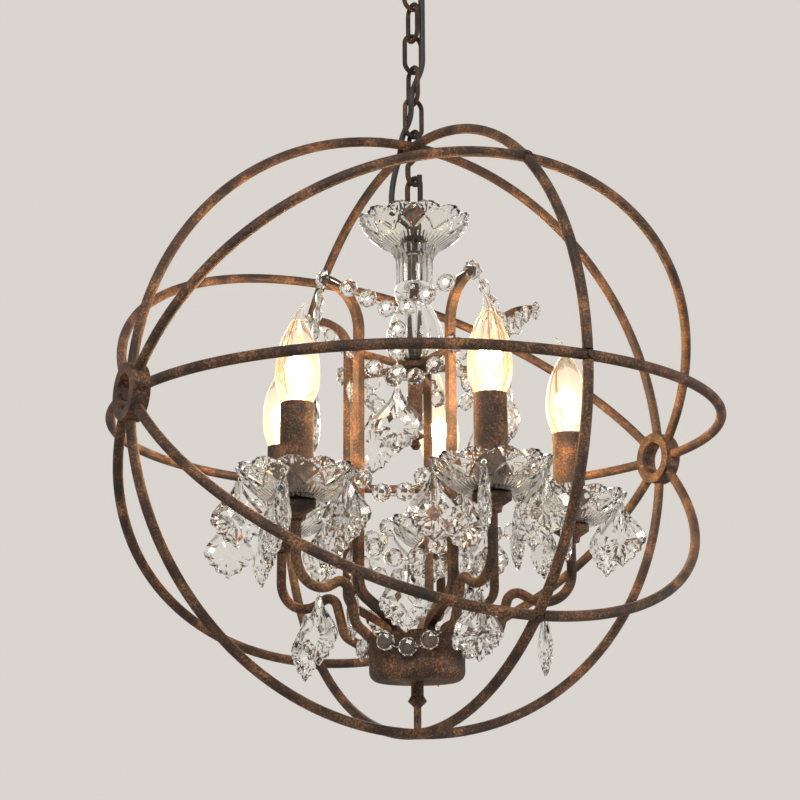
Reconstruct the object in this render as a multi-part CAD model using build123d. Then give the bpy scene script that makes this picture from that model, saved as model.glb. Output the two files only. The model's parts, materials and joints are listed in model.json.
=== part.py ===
"""Iron orb pendant with a five-candle crystal chandelier inside its cage.

Millimetres, +Z up. The origin is on the ceiling plane, at the centre of the mounting bar,
so the whole fixture hangs below it. The hub axis of the orb runs along X.
"""
import math
import os

from build123d import *
from build123d.topology import SkipClean

# Ceiling fitting
ROSE_R = 58.0
ROSE_DEPTH = 26.0
ROSE_WALL = 1.2
ROSE_RIM = 5.0
MOUNT_BAR_LENGTH = 96.0
MOUNT_BAR_WIDTH = 20.0
MOUNT_BAR_THICK = 2.5
MOUNT_HOLE_SPACING = 70.0
MOUNT_HOLE_R = 2.75
NIPPLE_R = 5.0
NIPPLE_BORE_R = 3.6
COLLAR_R = 12.0
COLLAR_HEIGHT = 6.0
SOCKET_R = 8.0
SOCKET_HEIGHT = 6.0
SOCKET_FLOOR = 1.5
LOOP_R = 12.0
LOOP_WIRE_R = 2.5
TERMINAL_LENGTH = 20.0
TERMINAL_WIDTH = 12.0
TERMINAL_HEIGHT = 11.0
TERMINAL_OUT = 24.0
TERMINAL_HOLE_R = 1.6
TERMINAL_PITCH = 8.0

# Chain and cord
LINK_COUNT = 5
LINK_WIRE_R = 2.0
LINK_LENGTH = 38.0
LINK_WIDTH = 20.0
HANG_GAP = 0.3
CORD_R = 2.5

# Orb cage
CAGE_ROOM = 20.77
BAR_R = 4.0
BAR_COUNT = 8
HUB_R = 22.0
HUB_WALL = 8.0
HUB_DEPTH = 14.0
LAP_GAP = 0.1
SEAM_TURN = 30.0
SCREW_R = 1.7
SCREW_GRIP = 10.0
SCREW_HEAD_R = 3.0
SCREW_HEAD_HEIGHT = 1.8
SPOT_DEPTH = 0.7
EYE_R = 8.0
EYE_WIRE_R = 2.0
EYE_RISE = 1.5
EYE_TAIL = 1.5
HOOK_WIRE_R = 2.25
HOOK_R = 7.0
HOOK_DROP = 29.7
HOOK_NECK = 8.0
HOOK_OFFSET_RUN = 7.0
HOOK_LIP = 10.0
HOOK_TURN = 16.0

# Bail, stem and glass column
BAIL_WIRE_R = 2.25
BAIL_R = 7.5
BAIL_HEIGHT = 25.0
CAP_R = 11.0
CAP_THICK = 4.0
STEM_R = 6.0
STEM_BORE_R = 4.0
STEM_HEAD = 34.0
STEM_TAIL = 45.0
NUT_R = 10.0
NUT_HEIGHT = 5.0
TUBE_LENGTH = 32.0
TUBE_R = 15.5
TUBE_WALL = 3.0
TUBE_FLANGE_R = 20.0
TUBE_FLANGE = 5.0
VASE_LENGTH = 69.0
VASE_NECK_R = 13.0
VASE_RING_R = 16.5
VASE_BELLY_R = 24.5
VASE_FOOT_R = 13.0
VASE_RING = 15.0
VASE_BELLY_DOWN = 50.0
SPIDER_THICK = 4.0
SPIDER_HUB_R = 16.0
SPOKE_WIDTH = 8.0
FINIAL_LENGTH = 22.0
FINIAL_KNOB_R = 6.5

# Glass dish, used at the crown and under each candle
DISH_R = 47.2
DISH_LOBE = 2.2
DISH_DEPTH = 27.0
DISH_FLAT_R = 16.0
DISH_WALL = 4.0
DISH_LOBES = 12
DISH_SEAT_GAP = 0.1

# Scroll bars, junction cup and candle arms
ARM_COUNT = 5
ARM_PHASE = -93.0
SCROLL_WIDTH = 6.5
SCROLL_R = 63.0
SCROLL_FOOT_R = 22.0
SCROLL_FOOT = 7.0
SCROLL_BEND = 30.0
SCROLL_BEND_R = 16.0
TIP_RISE = 51.4
TIP_REACH = 36.0
TIP_STRAIGHT = 2.0
FRAME_DROP = 222.7
LID_THICK = 3.0
LID_R = 38.5
CUP_R = 38.0
CUP_HEIGHT = 33.4
CUP_WALL = 2.0
CUP_EDGE_R = 8.0
TIE_R = 3.0
TIE_NUT_R = 6.0
TIE_NUT_HEIGHT = 5.0
KNOB_R = 7.6
KNOB_DOWN = 15.0
KNOB_HEIGHT = 9.0
KNOB_NECK_R = 5.0
CANDLE_OUT = 64.0
CANDLE_TUBE_R = 4.0
CANDLE_TUBE_WALL = 1.0
ARM_ROOT_DOWN = 9.0
ARM_ROOT_REACH = 6.0
ARM_ELBOW_UP = 6.6
ARM_CREST_UP = 42.6
ARM_TROUGH_UP = 31.6
ARM_TOP_UP = 90.6
ARM_ELBOW_R = 14.0

# Shares of the way from a scroll bar out to its candle
ARM_ELBOW_SHARE = 0.047
ARM_CREST_SHARE = 0.203
ARM_TROUGH_SHARE = 0.47
ARM_CREST_ROUND = 0.14
ARM_TROUGH_ROUND = 0.33
ARM_RISE_ROUND = 0.37

# Candles
DRIP_CUP_R = 15.0
DRIP_CUP_RIM = 4.0
DRIP_CUP_HEIGHT = 13.0
DRIP_NECK_R = 7.0
CANDLE_NIPPLE_R = 5.0
CANDLE_NIPPLE_BORE_R = 3.2
CANDLE_NIPPLE = 11.0
TUBE_SEAT = 3.0
SLEEVE_R = 13.0
SLEEVE_WALL = 1.5
SLEEVE_HEIGHT = 73.0
HOLDER_R = 11.0
HOLDER_HEIGHT = 63.0
HOLDER_BORE_R = 7.1
HOLDER_BORE = 31.0
CAP_SHELL_R = 6.8
CAP_SHELL = 28.0
BULB_NECK_R = 10.0
BULB_R = 17.3
BULB_BELLY_UP = 29.0
BULB_SHOULDER_UP = 69.0
BULB_SHOULDER_R = 5.0
BULB_TIP_UP = 86.0
BULB_TIP_R = 0.9
BULB_TIP_OUT = 8.0

# Crystals
BEAD_R = 7.0
BEAD_THICK = 6.0
BEAD_CUT = 1.7
BEAD_PITCH = 17.8
PIN_R = 0.7
PIN_GAP = 0.3
DROP_LENGTH = 52.0
DROP_WIDTH = 42.0
DROP_THICK = 9.0
DROP_TABLE = 0.72
DROP_PIN = 3.0
ROSETTE_R = 8.5
ROSETTE_THICK = 7.0
ROSETTE_POINTS = 8
SWAG_SIDE_BEADS = 3
SWAG_FALL = 32.0
SWAG_START = 1.0
STRAND_BEADS = (2, 2, 2, 2, 3)
STRAND_LINK = 3.0
HIGH_GARLAND_DOWN = 4.0
GARLAND_BEADS = 4
GARLAND_DOWN = 152.0
GARLAND_HOOK = 2.0
CUP_SWAG_BEADS = 3
CUP_SWAG_OUT = 16.0
DISH_SWAG_BEADS = 4
DISH_SWAG_DOWN = 3.0
DISH_DROPS = 5
DISH_DROP_IN = 1.0

FIT = 0.05
SLIP = 0.3

# Heights worked out from the ceiling down
COLLAR_TOP = -ROSE_DEPTH
SOCKET_TOP = COLLAR_TOP - COLLAR_HEIGHT
SOCKET_LOW = SOCKET_TOP - SOCKET_HEIGHT
LOOP_Z = SOCKET_LOW - LOOP_R
LOOP_LOW = LOOP_Z - LOOP_R
LINK_SPAN = LINK_LENGTH - 2 * LINK_WIRE_R
LINK_PITCH = LINK_SPAN - 2 * LINK_WIRE_R - HANG_GAP
TOP_LINK_HIGH = LOOP_LOW + LOOP_WIRE_R + LINK_WIRE_R + HANG_GAP
CHAIN_LOW = TOP_LINK_HIGH - LINK_SPAN - (LINK_COUNT - 1) * LINK_PITCH
EYE_APEX = CHAIN_LOW + LINK_WIRE_R + EYE_WIRE_R + HANG_GAP
ORB_TOP = EYE_APEX - EYE_R - EYE_RISE - BAR_R

# Heights inside the orb, from the middle of its top bar down
HOOK_LOW = ORB_TOP - BAR_R - HOOK_DROP
BAIL_APEX = HOOK_LOW + HOOK_WIRE_R + BAIL_WIRE_R + HANG_GAP
CAP_TOP = BAIL_APEX - BAIL_HEIGHT
STEM_TOP = CAP_TOP - CAP_THICK
CROWN_Z = STEM_TOP - STEM_HEAD
VASE_TOP = CROWN_Z - TUBE_LENGTH
SPIDER_TOP = VASE_TOP - VASE_LENGTH
SPIDER_LOW = SPIDER_TOP - SPIDER_THICK
STEM_LOW = SPIDER_LOW - STEM_TAIL
LID_TOP = SPIDER_TOP - FRAME_DROP
CUP_TOP = LID_TOP - LID_THICK
CUP_LOW = CUP_TOP - CUP_HEIGHT
TIP_R = SCROLL_R + TIP_REACH
TIP_Z = SPIDER_TOP + TIP_RISE
ARM_TOP = CUP_TOP + ARM_TOP_UP
TROUGH_Z = CUP_TOP + ARM_TROUGH_UP
DRIP_TOP = ARM_TOP + TUBE_SEAT
DISH_Z = DRIP_TOP + DISH_SEAT_GAP
SLEEVE_LOW = DISH_Z + DISH_WALL + DISH_SEAT_GAP
HOLDER_LOW = DRIP_TOP + CANDLE_NIPPLE
HOLDER_TOP = HOLDER_LOW + HOLDER_HEIGHT
UNDER_TROUGH = TROUGH_Z - CANDLE_TUBE_R - SLIP

# Radii worked out from the stem outward
CANDLE_R = SCROLL_R + CANDLE_OUT
DISH_VALLEY_R = DISH_R - DISH_LOBE
ARCH_R = TIP_REACH - TIP_STRAIGHT
TROUGH_R = CANDLE_R - ARM_RISE_ROUND * CANDLE_OUT
ARM_TURNS = [ARM_PHASE + 360.0 / ARM_COUNT * k for k in range(ARM_COUNT)]
SCROLL_FACE_R = SCROLL_R + SCROLL_WIDTH / 2
HALF_PITCH = BEAD_PITCH / 2

# The cage goes round the lowest pendants, which hang under the candle arms
PENDANT_DOWN = ORB_TOP - UNDER_TROUGH + DROP_PIN + DROP_LENGTH
ORB_R = (TROUGH_R**2 + PENDANT_DOWN**2 - CAGE_ROOM**2) / (2 * (PENDANT_DOWN - CAGE_ROOM))
ORB_Z = ORB_TOP - ORB_R
HUB_X = math.sqrt(ORB_R**2 - HUB_R**2)
BAR_STEP = 360.0 / BAR_COUNT


def spun(*points):
    """Solid turned about Z from a closed outline of (radius, height) points."""
    outline = Polyline(*[(r, 0, z) for r, z in points], close=True)
    return revolve(make_face(outline.edges()), Axis.Z).solid()


def disc(radius, low, high, bore=0.0):
    """Upright cylinder between two heights, with an optional bore."""
    body = Pos(0, 0, (low + high) / 2) * Cylinder(radius, high - low)
    if bore:
        body -= Pos(0, 0, (low + high) / 2) * Cylinder(bore, high - low + 2)
    return body.solid()


def upright_route(points, radii):
    """Path in the XZ plane through (radius, height) points, with rounded corners."""
    return FilletPolyline(*[(r, 0, z) for r, z in points], radius=radii)


def round_bar(path, radius):
    return sweep(Plane(path @ 0, z_dir=path % 0) * Circle(radius), path=path).solid()


def around(shape, turns):
    return [Rot(0, 0, turn) * shape for turn in turns]


def group(solids):
    return Compound(list(solids))


# Ceiling fitting

def rose_bowl(radius, depth, rim):
    """Face of half a rose's section, from its axis to its outside."""
    flat_r = COLLAR_R + ROSE_WALL + depth / 8
    side = ThreePointArc((radius, 0, -rim), (radius * 0.8, 0, -depth * 0.72), (flat_r, 0, -depth))
    walls = Polyline((flat_r, 0, -depth), (0, 0, -depth), (0, 0, 0), (radius, 0, 0), (radius, 0, -rim))
    return make_face([side, *walls.edges()])


def ceiling_rose():
    outer = revolve(rose_bowl(ROSE_R, ROSE_DEPTH, ROSE_RIM), Axis.Z)
    inner = revolve(rose_bowl(ROSE_R - ROSE_WALL, ROSE_DEPTH - ROSE_WALL, ROSE_RIM), Axis.Z)
    return (outer - inner - disc(NIPPLE_R + FIT, -2 * ROSE_DEPTH, 0)).solid()


def mounting_bar():
    bar = Pos(0, 0, -MOUNT_BAR_THICK / 2) * Box(MOUNT_BAR_LENGTH, MOUNT_BAR_WIDTH, MOUNT_BAR_THICK)
    for side in (-1, 1):
        bar -= Pos(side * MOUNT_HOLE_SPACING / 2) * Cylinder(MOUNT_HOLE_R, 4 * MOUNT_BAR_THICK)
    return (bar - Cylinder(NIPPLE_R + FIT, 4 * MOUNT_BAR_THICK)).solid()


def nipple():
    return disc(NIPPLE_R, SOCKET_LOW + SOCKET_FLOOR, 0, NIPPLE_BORE_R)


def collar_nut():
    return disc(COLLAR_R, SOCKET_TOP, COLLAR_TOP, NIPPLE_R + FIT)


def rose_loop():
    """Socket that screws onto the nipple, with the loop that the chain hangs from."""
    loop = Pos(0, 0, LOOP_Z) * Rot(0, 90, 0) * Torus(LOOP_R, LOOP_WIRE_R)
    body = loop + disc(SOCKET_R, SOCKET_LOW, SOCKET_TOP)
    body -= disc(NIPPLE_BORE_R, SOCKET_LOW - LOOP_WIRE_R - 1, SOCKET_TOP)
    return (body - disc(NIPPLE_R + FIT, SOCKET_LOW + SOCKET_FLOOR, SOCKET_TOP + 1)).solid()


def terminal_block():
    top = -MOUNT_BAR_THICK
    block = Pos(TERMINAL_OUT, 0, top - TERMINAL_HEIGHT / 2)
    body = block * Box(TERMINAL_LENGTH, TERMINAL_WIDTH, TERMINAL_HEIGHT)
    for side in (-1, 1):
        hole = Pos(side * TERMINAL_PITCH / 2) * Rot(90, 0, 0) * Cylinder(TERMINAL_HOLE_R, 2 * TERMINAL_WIDTH)
        body -= block * hole
    mount_hole = Pos(MOUNT_HOLE_SPACING / 2) * Cylinder(2 * MOUNT_HOLE_R, 4 * ROSE_DEPTH)
    return (body - mount_hole).solid()


# Chain and cord

def chain_link(index):
    """One oval link, counted from the ceiling. Each is turned a quarter from the one above."""
    middle = TOP_LINK_HIGH - LINK_SPAN / 2 - index * LINK_PITCH
    bend_r = LINK_WIDTH / 2 - LINK_WIRE_R
    half = LINK_SPAN / 2 - bend_r
    section = Pos(bend_r, 0, 0) * Circle(LINK_WIRE_R)
    half_link = Pos(0, 0, half) * revolve(section, Axis((0, 0, 0), (0, -1, 0)), 180)
    body = half_link + Rot(0, 180, 0) * half_link
    for s in (-1, 1):
        body += Pos(s * bend_r) * Cylinder(LINK_WIRE_R, 2 * half)
    return Pos(0, 0, middle) * Rot(0, 0, 90 * (index % 2)) * body.solid()


# The cord leaves the socket, runs down beside the links, passes through the two lowest ones,
# clears the crossing of the bars and enters the stem above the crown dish.
# Each place is sideways in link widths, then a height and link widths above it.
CORD_PLACES = [
    (0, 0, -MOUNT_BAR_THICK, 0),
    (0, 0, SOCKET_LOW, -0.2),
    (0.3, -0.3, LOOP_LOW, 0.25),
    (0.3, -0.3, CHAIN_LOW, 3.15),
    (0, -0.1, CHAIN_LOW, 2.335),
    (-0.32, -0.37, CHAIN_LOW, 1.6),
    (-0.1, 0, CHAIN_LOW, 0.85),
    (-0.38, 0.38, CHAIN_LOW, 0.05),
    (-0.43, 0.41, ORB_TOP, -0.35),
    (-0.7, 0.5, ORB_TOP, -1.35),
    (-0.8, 0.55, ORB_TOP, -2.35),
    (-0.725, 0.5, CROWN_Z, 1.475),
    (0, 0, CROWN_Z, 0.9),
]
CORD_ROUTE = [(x * LINK_WIDTH, y * LINK_WIDTH, base + up * LINK_WIDTH) for x, y, base, up in CORD_PLACES]
CORD_CUT_HIGH = LOOP_LOW - 0.73 * LINK_WIDTH
CORD_CUT_LOW = CHAIN_LOW + 4.5 * LINK_WIDTH


def route_radii(points):
    """Largest tangent arc at each corner that leaves a little of both runs straight."""
    radii = []
    for before, corner, after in zip(points, points[1:], points[2:]):
        run_in = Vector(*corner) - Vector(*before)
        run_out = Vector(*after) - Vector(*corner)
        half_turn = math.radians(run_in.get_angle(run_out)) / 2
        radii.append(0.45 * min(run_in.length, run_out.length) / math.tan(half_turn))
    return radii


def cord_pieces():
    """The cord in three stretches, cut between the places where the chain bends."""
    radii = route_radii(CORD_ROUTE)
    path = FilletPolyline(*CORD_ROUTE, radius=radii)
    whole = round_bar(path, CORD_R)
    print("cord radii", [round(r, 1) for r in radii])
    print("cord length", round(path.length, 1), "volume ratio",
          round(whole.volume / (math.pi * CORD_R**2 * path.length), 4))
    upper = split(whole, bisect_by=Plane.XY.offset(CORD_CUT_HIGH), keep=Keep.TOP)
    rest = split(whole, bisect_by=Plane.XY.offset(CORD_CUT_HIGH), keep=Keep.BOTTOM)
    middle = split(rest, bisect_by=Plane.XY.offset(CORD_CUT_LOW), keep=Keep.TOP)
    lower = split(rest, bisect_by=Plane.XY.offset(CORD_CUT_LOW), keep=Keep.BOTTOM)
    return {"cord_upper": upper.solid(), "cord_middle": middle.solid(), "cord_lower": lower.solid()}


# Orb cage, made about the orb's centre

def crossing_hole_r(index):
    """Radius of the radial hole where the cross ring meets a bar."""
    if index == 0:
        return HOOK_WIRE_R + FIT
    if index == BAR_COUNT // 2:
        return TIE_R + FIT
    return SCREW_R + FIT


def lap_cut(across_x, across_y, outer):
    """Block that takes away the outer or inner half of a bar at its crossing."""
    side = 1 if outer else -1
    return Pos(0, 0, ORB_R + side * BAR_R) * Box(across_x, across_y, 2 * BAR_R)


def spot_face():
    """Flat for a screw head on the outside of a crossing."""
    return disc(SCREW_HEAD_R + 2 * LAP_GAP, ORB_R + BAR_R - SPOT_DEPTH, ORB_R + 3 * BAR_R)


def has_screw(index):
    return index not in (0, BAR_COUNT // 2)


def bar_is_outer(index):
    return index % 2 == 0


def cage_bar(index):
    """Half ring from hub to hub. Every other one laps over the cross ring, the rest under it."""
    start = math.degrees(math.asin((HUB_R - HUB_WALL / 2) / ORB_R))
    section = Rot(0, -start, 0) * Pos(ORB_R, 0, 0) * Rot(0, 0, SEAM_TURN) * Circle(BAR_R)
    bar = revolve(section, Axis((0, 0, 0), (0, -1, 0)), 180 - 2 * start)
    for side in (-1, 1):
        bar -= Pos(side * HUB_X) * Rot(0, 90, 0) * Cylinder(HUB_R, 4 * HUB_DEPTH)
        bar -= Pos(side * HUB_X, 0, HUB_R + SCREW_GRIP / 2) * Cylinder(SCREW_R + FIT, SCREW_GRIP + 2 * FIT)
    outer = bar_is_outer(index)
    bar -= lap_cut(2 * (BAR_R + LAP_GAP), 3 * BAR_R, not outer)
    bar -= Pos(0, 0, ORB_R) * Cylinder(crossing_hole_r(index), 4 * BAR_R)
    if outer and has_screw(index):
        bar -= spot_face()
    return Rot(BAR_STEP * index, 0, 0) * bar.solid()


def cross_ring():
    """Ring midway between the hubs, joined from two halves so that no seam falls on a crossing."""
    section = Pos(0, ORB_R, 0) * Rot(0, 0, SEAM_TURN) * Circle(BAR_R)
    half = Rot(BAR_STEP / 2, 0, 0) * revolve(section, Axis.X, 180)
    with SkipClean():
        ring = half + Rot(180, 0, 0) * half
        for index in range(BAR_COUNT):
            turn = Rot(BAR_STEP * index, 0, 0)
            ring -= turn * lap_cut(3 * BAR_R, 2 * (BAR_R + LAP_GAP), bar_is_outer(index))
            ring -= turn * Pos(0, 0, ORB_R) * Cylinder(crossing_hole_r(index), 4 * BAR_R)
            if not bar_is_outer(index):
                ring -= turn * spot_face()
        for side in (-1, 1):
            ring -= Pos(0, side * EYE_R, ORB_R) * Cylinder(EYE_WIRE_R + FIT, 4 * BAR_R)
    return ring.solid()


def hub(side):
    ring = Rot(0, 90, 0) * (Cylinder(HUB_R, HUB_DEPTH) - Cylinder(HUB_R - HUB_WALL, 2 * HUB_DEPTH))
    inner = HUB_R - HUB_WALL + SPOT_DEPTH
    for index in range(BAR_COUNT):
        turn = Rot(BAR_STEP * index, 0, 0)
        ring -= turn * disc(SCREW_R + FIT, 0, 2 * HUB_R)
        ring -= turn * disc(SCREW_HEAD_R + 2 * LAP_GAP, 0, inner)
    return Pos(side * HUB_X) * ring.solid()


def cage_screws():
    """Radial screws: from inside each hub into the bar ends, and through the crossings."""
    seat = HUB_R - HUB_WALL + SPOT_DEPTH
    hub_screw = disc(SCREW_HEAD_R, seat - SCREW_HEAD_HEIGHT, seat) + disc(SCREW_R, seat, HUB_R + SCREW_GRIP)
    high = ORB_R + BAR_R - SPOT_DEPTH
    lap_screw = disc(SCREW_HEAD_R, high, high + SCREW_HEAD_HEIGHT) + disc(SCREW_R, ORB_R - BAR_R, high)
    screws = []
    for index in range(BAR_COUNT):
        turn = Rot(BAR_STEP * index, 0, 0)
        screws += [Pos(side * HUB_X) * turn * hub_screw.solid() for side in (-1, 1)]
        if has_screw(index):
            screws.append(turn * lap_screw.solid())
    return group(screws)


def staple(radius, wire_r, apex, foot):
    """Upturned U of round wire in the XZ plane."""
    spring = apex - radius
    legs = Line((-radius, 0, foot), (-radius, 0, spring)), Line((radius, 0, spring), (radius, 0, foot))
    arch = ThreePointArc((-radius, 0, spring), (0, 0, apex), (radius, 0, spring))
    return round_bar(Wire([legs[0], arch, legs[1]]), wire_r)


def orb_eye():
    """Staple whose legs pass through the cross ring on both sides of the top bar."""
    apex = ORB_R + BAR_R + EYE_RISE + EYE_R
    return Rot(0, 0, 90) * staple(EYE_R, EYE_WIRE_R, apex, ORB_R - BAR_R - EYE_TAIL)


def inner_hook():
    """Open hook whose shank goes up through the top crossing."""
    low = ORB_R - BAR_R - HOOK_DROP
    neck = ORB_R - BAR_R - HOOK_NECK
    points = [
        (0, ORB_R + BAR_R),
        (0, neck),
        (-HOOK_R, neck - HOOK_OFFSET_RUN),
        (-HOOK_R, low),
        (HOOK_R, low),
        (HOOK_R, low + HOOK_LIP),
    ]
    bend_r = 0.98 * HOOK_R
    path = upright_route(points, [2 * HOOK_WIRE_R, 2 * HOOK_WIRE_R, bend_r, bend_r])
    return Rot(0, 0, HOOK_TURN) * round_bar(path, HOOK_WIRE_R)


# Stem and glass column

def stem_bail():
    """Bail that hangs on the hook, with the cap that closes the stem."""
    bail = staple(BAIL_R, BAIL_WIRE_R, BAIL_APEX, CAP_TOP - CAP_THICK / 2)
    cap = disc(CAP_R, STEM_TOP, CAP_TOP)
    return Rot(0, 0, HOOK_TURN + 90) * (bail + cap).solid()


def centre_stem():
    stem = disc(STEM_R, STEM_LOW, STEM_TOP, STEM_BORE_R)
    start = Vector(*CORD_ROUTE[-2])
    end = Vector(*CORD_ROUTE[-1])
    entry = Plane(start, z_dir=end - start) * Pos(0, 0, (end - start).length / 2)
    return (stem - entry * Cylinder(CORD_R + SLIP, (end - start).length)).solid()


def frame_nuts():
    """Nuts above the crown dish, under the spider and on the tie rod over the junction lid."""
    dish_floor = CROWN_Z + DISH_WALL
    crown = disc(NUT_R, dish_floor, dish_floor + NUT_HEIGHT, STEM_R + FIT)
    spider_nut = disc(NUT_R, SPIDER_LOW - NUT_HEIGHT, SPIDER_LOW, STEM_R + FIT)
    tie_nut = disc(TIE_NUT_R, LID_TOP, LID_TOP + TIE_NUT_HEIGHT, TIE_R + FIT)
    return group([crown, spider_nut, tie_nut])


def dish_outline():
    """Plan of a dish's rim: even lobes between valleys."""
    step = 2 * math.pi / DISH_LOBES
    arcs = []
    for k in range(DISH_LOBES):
        ends = [(DISH_VALLEY_R * math.cos(step * i), DISH_VALLEY_R * math.sin(step * i)) for i in (k, k + 1)]
        crown = (DISH_R * math.cos(step * (k + 0.5)), DISH_R * math.sin(step * (k + 0.5)))
        arcs.append(ThreePointArc(ends[0], crown, ends[1]))
    return make_face(arcs)


def dish_curve(flat_r, rim_r, low, high):
    """Side of a dish, from the edge of its flat floor up to its rim."""
    middle = (flat_r + 0.61 * (rim_r - flat_r), 0, low + 0.33 * (high - low))
    return ThreePointArc((flat_r, 0, low), middle, (rim_r, 0, high))


def glass_dish(hole_r):
    """Scalloped bowl standing on its flat floor at height 0, with a hole in the middle."""
    outside = dish_curve(DISH_FLAT_R, DISH_R, 0, DISH_DEPTH)
    inside = dish_curve(DISH_FLAT_R - 1, DISH_R - DISH_WALL, DISH_WALL, DISH_DEPTH)
    floor = Polyline((DISH_FLAT_R - 1, 0, DISH_WALL), (hole_r, 0, DISH_WALL), (hole_r, 0, 0), (DISH_FLAT_R, 0, 0))
    rim = Line((DISH_R, 0, DISH_DEPTH), (DISH_R - DISH_WALL, 0, DISH_DEPTH))
    bowl = revolve(make_face([outside, rim, inside, *floor.edges()]), Axis.Z)
    return (bowl & extrude(dish_outline(), 2 * DISH_DEPTH)).solid()


def dish_side_r(height):
    """Outside radius of a dish at a height above its floor."""
    curve = dish_curve(DISH_FLAT_R, DISH_R, 0, DISH_DEPTH)
    low, high = 0.0, 1.0
    for _ in range(40):
        middle = (low + high) / 2
        if (curve @ middle).Z < height:
            low = middle
        else:
            high = middle
    return (curve @ low).X


def dish_height_at(radius):
    """Height of a dish's outside above its floor at a radius."""
    low, high = 0.0, DISH_DEPTH
    for _ in range(40):
        middle = (low + high) / 2
        if dish_side_r(middle) < radius:
            low = middle
        else:
            high = middle
    return low


def crown_dish():
    return Pos(0, 0, CROWN_Z) * glass_dish(STEM_R + SLIP)


def column_tube():
    bore = TUBE_R - TUBE_WALL
    return spun(
        (bore, VASE_TOP),
        (TUBE_R, VASE_TOP),
        (TUBE_R, CROWN_Z - 2 * TUBE_FLANGE),
        (TUBE_FLANGE_R, CROWN_Z - TUBE_FLANGE / 2),
        (TUBE_FLANGE_R, CROWN_Z),
        (STEM_R + SLIP, CROWN_Z),
        (STEM_R + SLIP, CROWN_Z - TUBE_FLANGE),
        (bore, CROWN_Z - TUBE_FLANGE),
    )


def column_vase():
    """Solid glass baluster with a ring at its neck, bored for the stem."""
    neck_z = VASE_TOP - VASE_RING - 2
    belly_z = VASE_TOP - VASE_BELLY_DOWN
    bore = STEM_R + SLIP
    ring = ThreePointArc(
        (VASE_NECK_R + 2, 0, VASE_TOP),
        (VASE_RING_R, 0, VASE_TOP - VASE_RING / 2),
        (VASE_NECK_R + 1, 0, VASE_TOP - VASE_RING),
    )
    shoulder_r = VASE_NECK_R + 0.75 * (VASE_BELLY_R - VASE_NECK_R)
    shoulder = ThreePointArc(
        (VASE_NECK_R, 0, neck_z), (shoulder_r, 0, (neck_z + belly_z) / 2), (VASE_BELLY_R, 0, belly_z)
    )
    foot_r = VASE_FOOT_R + 0.72 * (VASE_BELLY_R - VASE_FOOT_R)
    foot = ThreePointArc(
        (VASE_BELLY_R, 0, belly_z), (foot_r, 0, (belly_z + SPIDER_TOP) / 2), (VASE_FOOT_R, 0, SPIDER_TOP)
    )
    neck = Line(ring @ 1, shoulder @ 0)
    inside = Polyline(foot @ 1, (bore, 0, SPIDER_TOP), (bore, 0, VASE_TOP), ring @ 0)
    return revolve(make_face([ring, neck, shoulder, foot, *inside.edges()]), Axis.Z).solid()


def spider():
    """Flat star whose spokes carry the scroll bars."""
    middle = (SPIDER_TOP + SPIDER_LOW) / 2
    length = SCROLL_R - SCROLL_WIDTH / 2
    spoke = Pos(length / 2, 0, middle) * Box(length, SPOKE_WIDTH, SPIDER_THICK)
    star = disc(SPIDER_HUB_R, SPIDER_LOW, SPIDER_TOP)
    for arm in around(spoke, ARM_TURNS):
        star += arm
    return (star - disc(STEM_R + FIT, SPIDER_LOW - 1, SPIDER_TOP + 1)).solid()


def stem_finial():
    """Turned end on the foot of the stem: two knobs and a ball."""
    low = STEM_LOW - FINIAL_LENGTH
    return spun(
        (0, STEM_LOW),
        (STEM_R, STEM_LOW),
        (0.6 * STEM_R, STEM_LOW - 0.2 * FINIAL_LENGTH),
        (0.6 * STEM_R, STEM_LOW - 0.35 * FINIAL_LENGTH),
        (FINIAL_KNOB_R, STEM_LOW - 0.45 * FINIAL_LENGTH),
        (FINIAL_KNOB_R, STEM_LOW - 0.55 * FINIAL_LENGTH),
        (0.4 * STEM_R, STEM_LOW - 0.65 * FINIAL_LENGTH),
        (0.75 * STEM_R, STEM_LOW - 0.85 * FINIAL_LENGTH),
        (0.4 * STEM_R, low),
        (0, low),
    )


# Scroll bars, junction cup and candle arms

def scroll_bar():
    """Square bar from the junction lid, out and up past the spider, to a tip that arches outward."""
    points = [
        (SCROLL_FOOT_R, LID_TOP),
        (SCROLL_FOOT_R, LID_TOP + SCROLL_FOOT),
        (SCROLL_R, LID_TOP + SCROLL_BEND),
        (SCROLL_R, TIP_Z),
        (TIP_R, TIP_Z),
    ]
    path = upright_route(points, [SCROLL_FOOT / 2, SCROLL_BEND_R, ARCH_R])
    section = Plane(path @ 0, x_dir=(1, 0, 0), z_dir=(0, 0, 1)) * Rectangle(SCROLL_WIDTH, SCROLL_WIDTH)
    return sweep(section, path=path).solid()


def arm_slope():
    """Rise of a candle arm per distance outward, from the junction cup to its elbow."""
    return (ARM_ELBOW_UP + ARM_ROOT_DOWN) / (SCROLL_R + ARM_ELBOW_SHARE * CANDLE_OUT - CUP_R)


def candle_route():
    """Path of a candle arm's tube from inside the junction cup to the drip cup."""
    root_z = CUP_TOP - ARM_ROOT_DOWN
    slope = arm_slope()
    points = [
        (CUP_R - ARM_ROOT_REACH, root_z - slope * ARM_ROOT_REACH),
        (SCROLL_R + ARM_ELBOW_SHARE * CANDLE_OUT, CUP_TOP + ARM_ELBOW_UP),
        (SCROLL_R + ARM_CREST_SHARE * CANDLE_OUT, CUP_TOP + ARM_CREST_UP),
        (CANDLE_R - ARM_TROUGH_SHARE * CANDLE_OUT, TROUGH_Z),
        (CANDLE_R, TROUGH_Z),
        (CANDLE_R, ARM_TOP),
    ]
    bends = [share * CANDLE_OUT for share in (ARM_CREST_ROUND, ARM_TROUGH_ROUND, ARM_RISE_ROUND)]
    return upright_route(points, [ARM_ELBOW_R, *bends])


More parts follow.
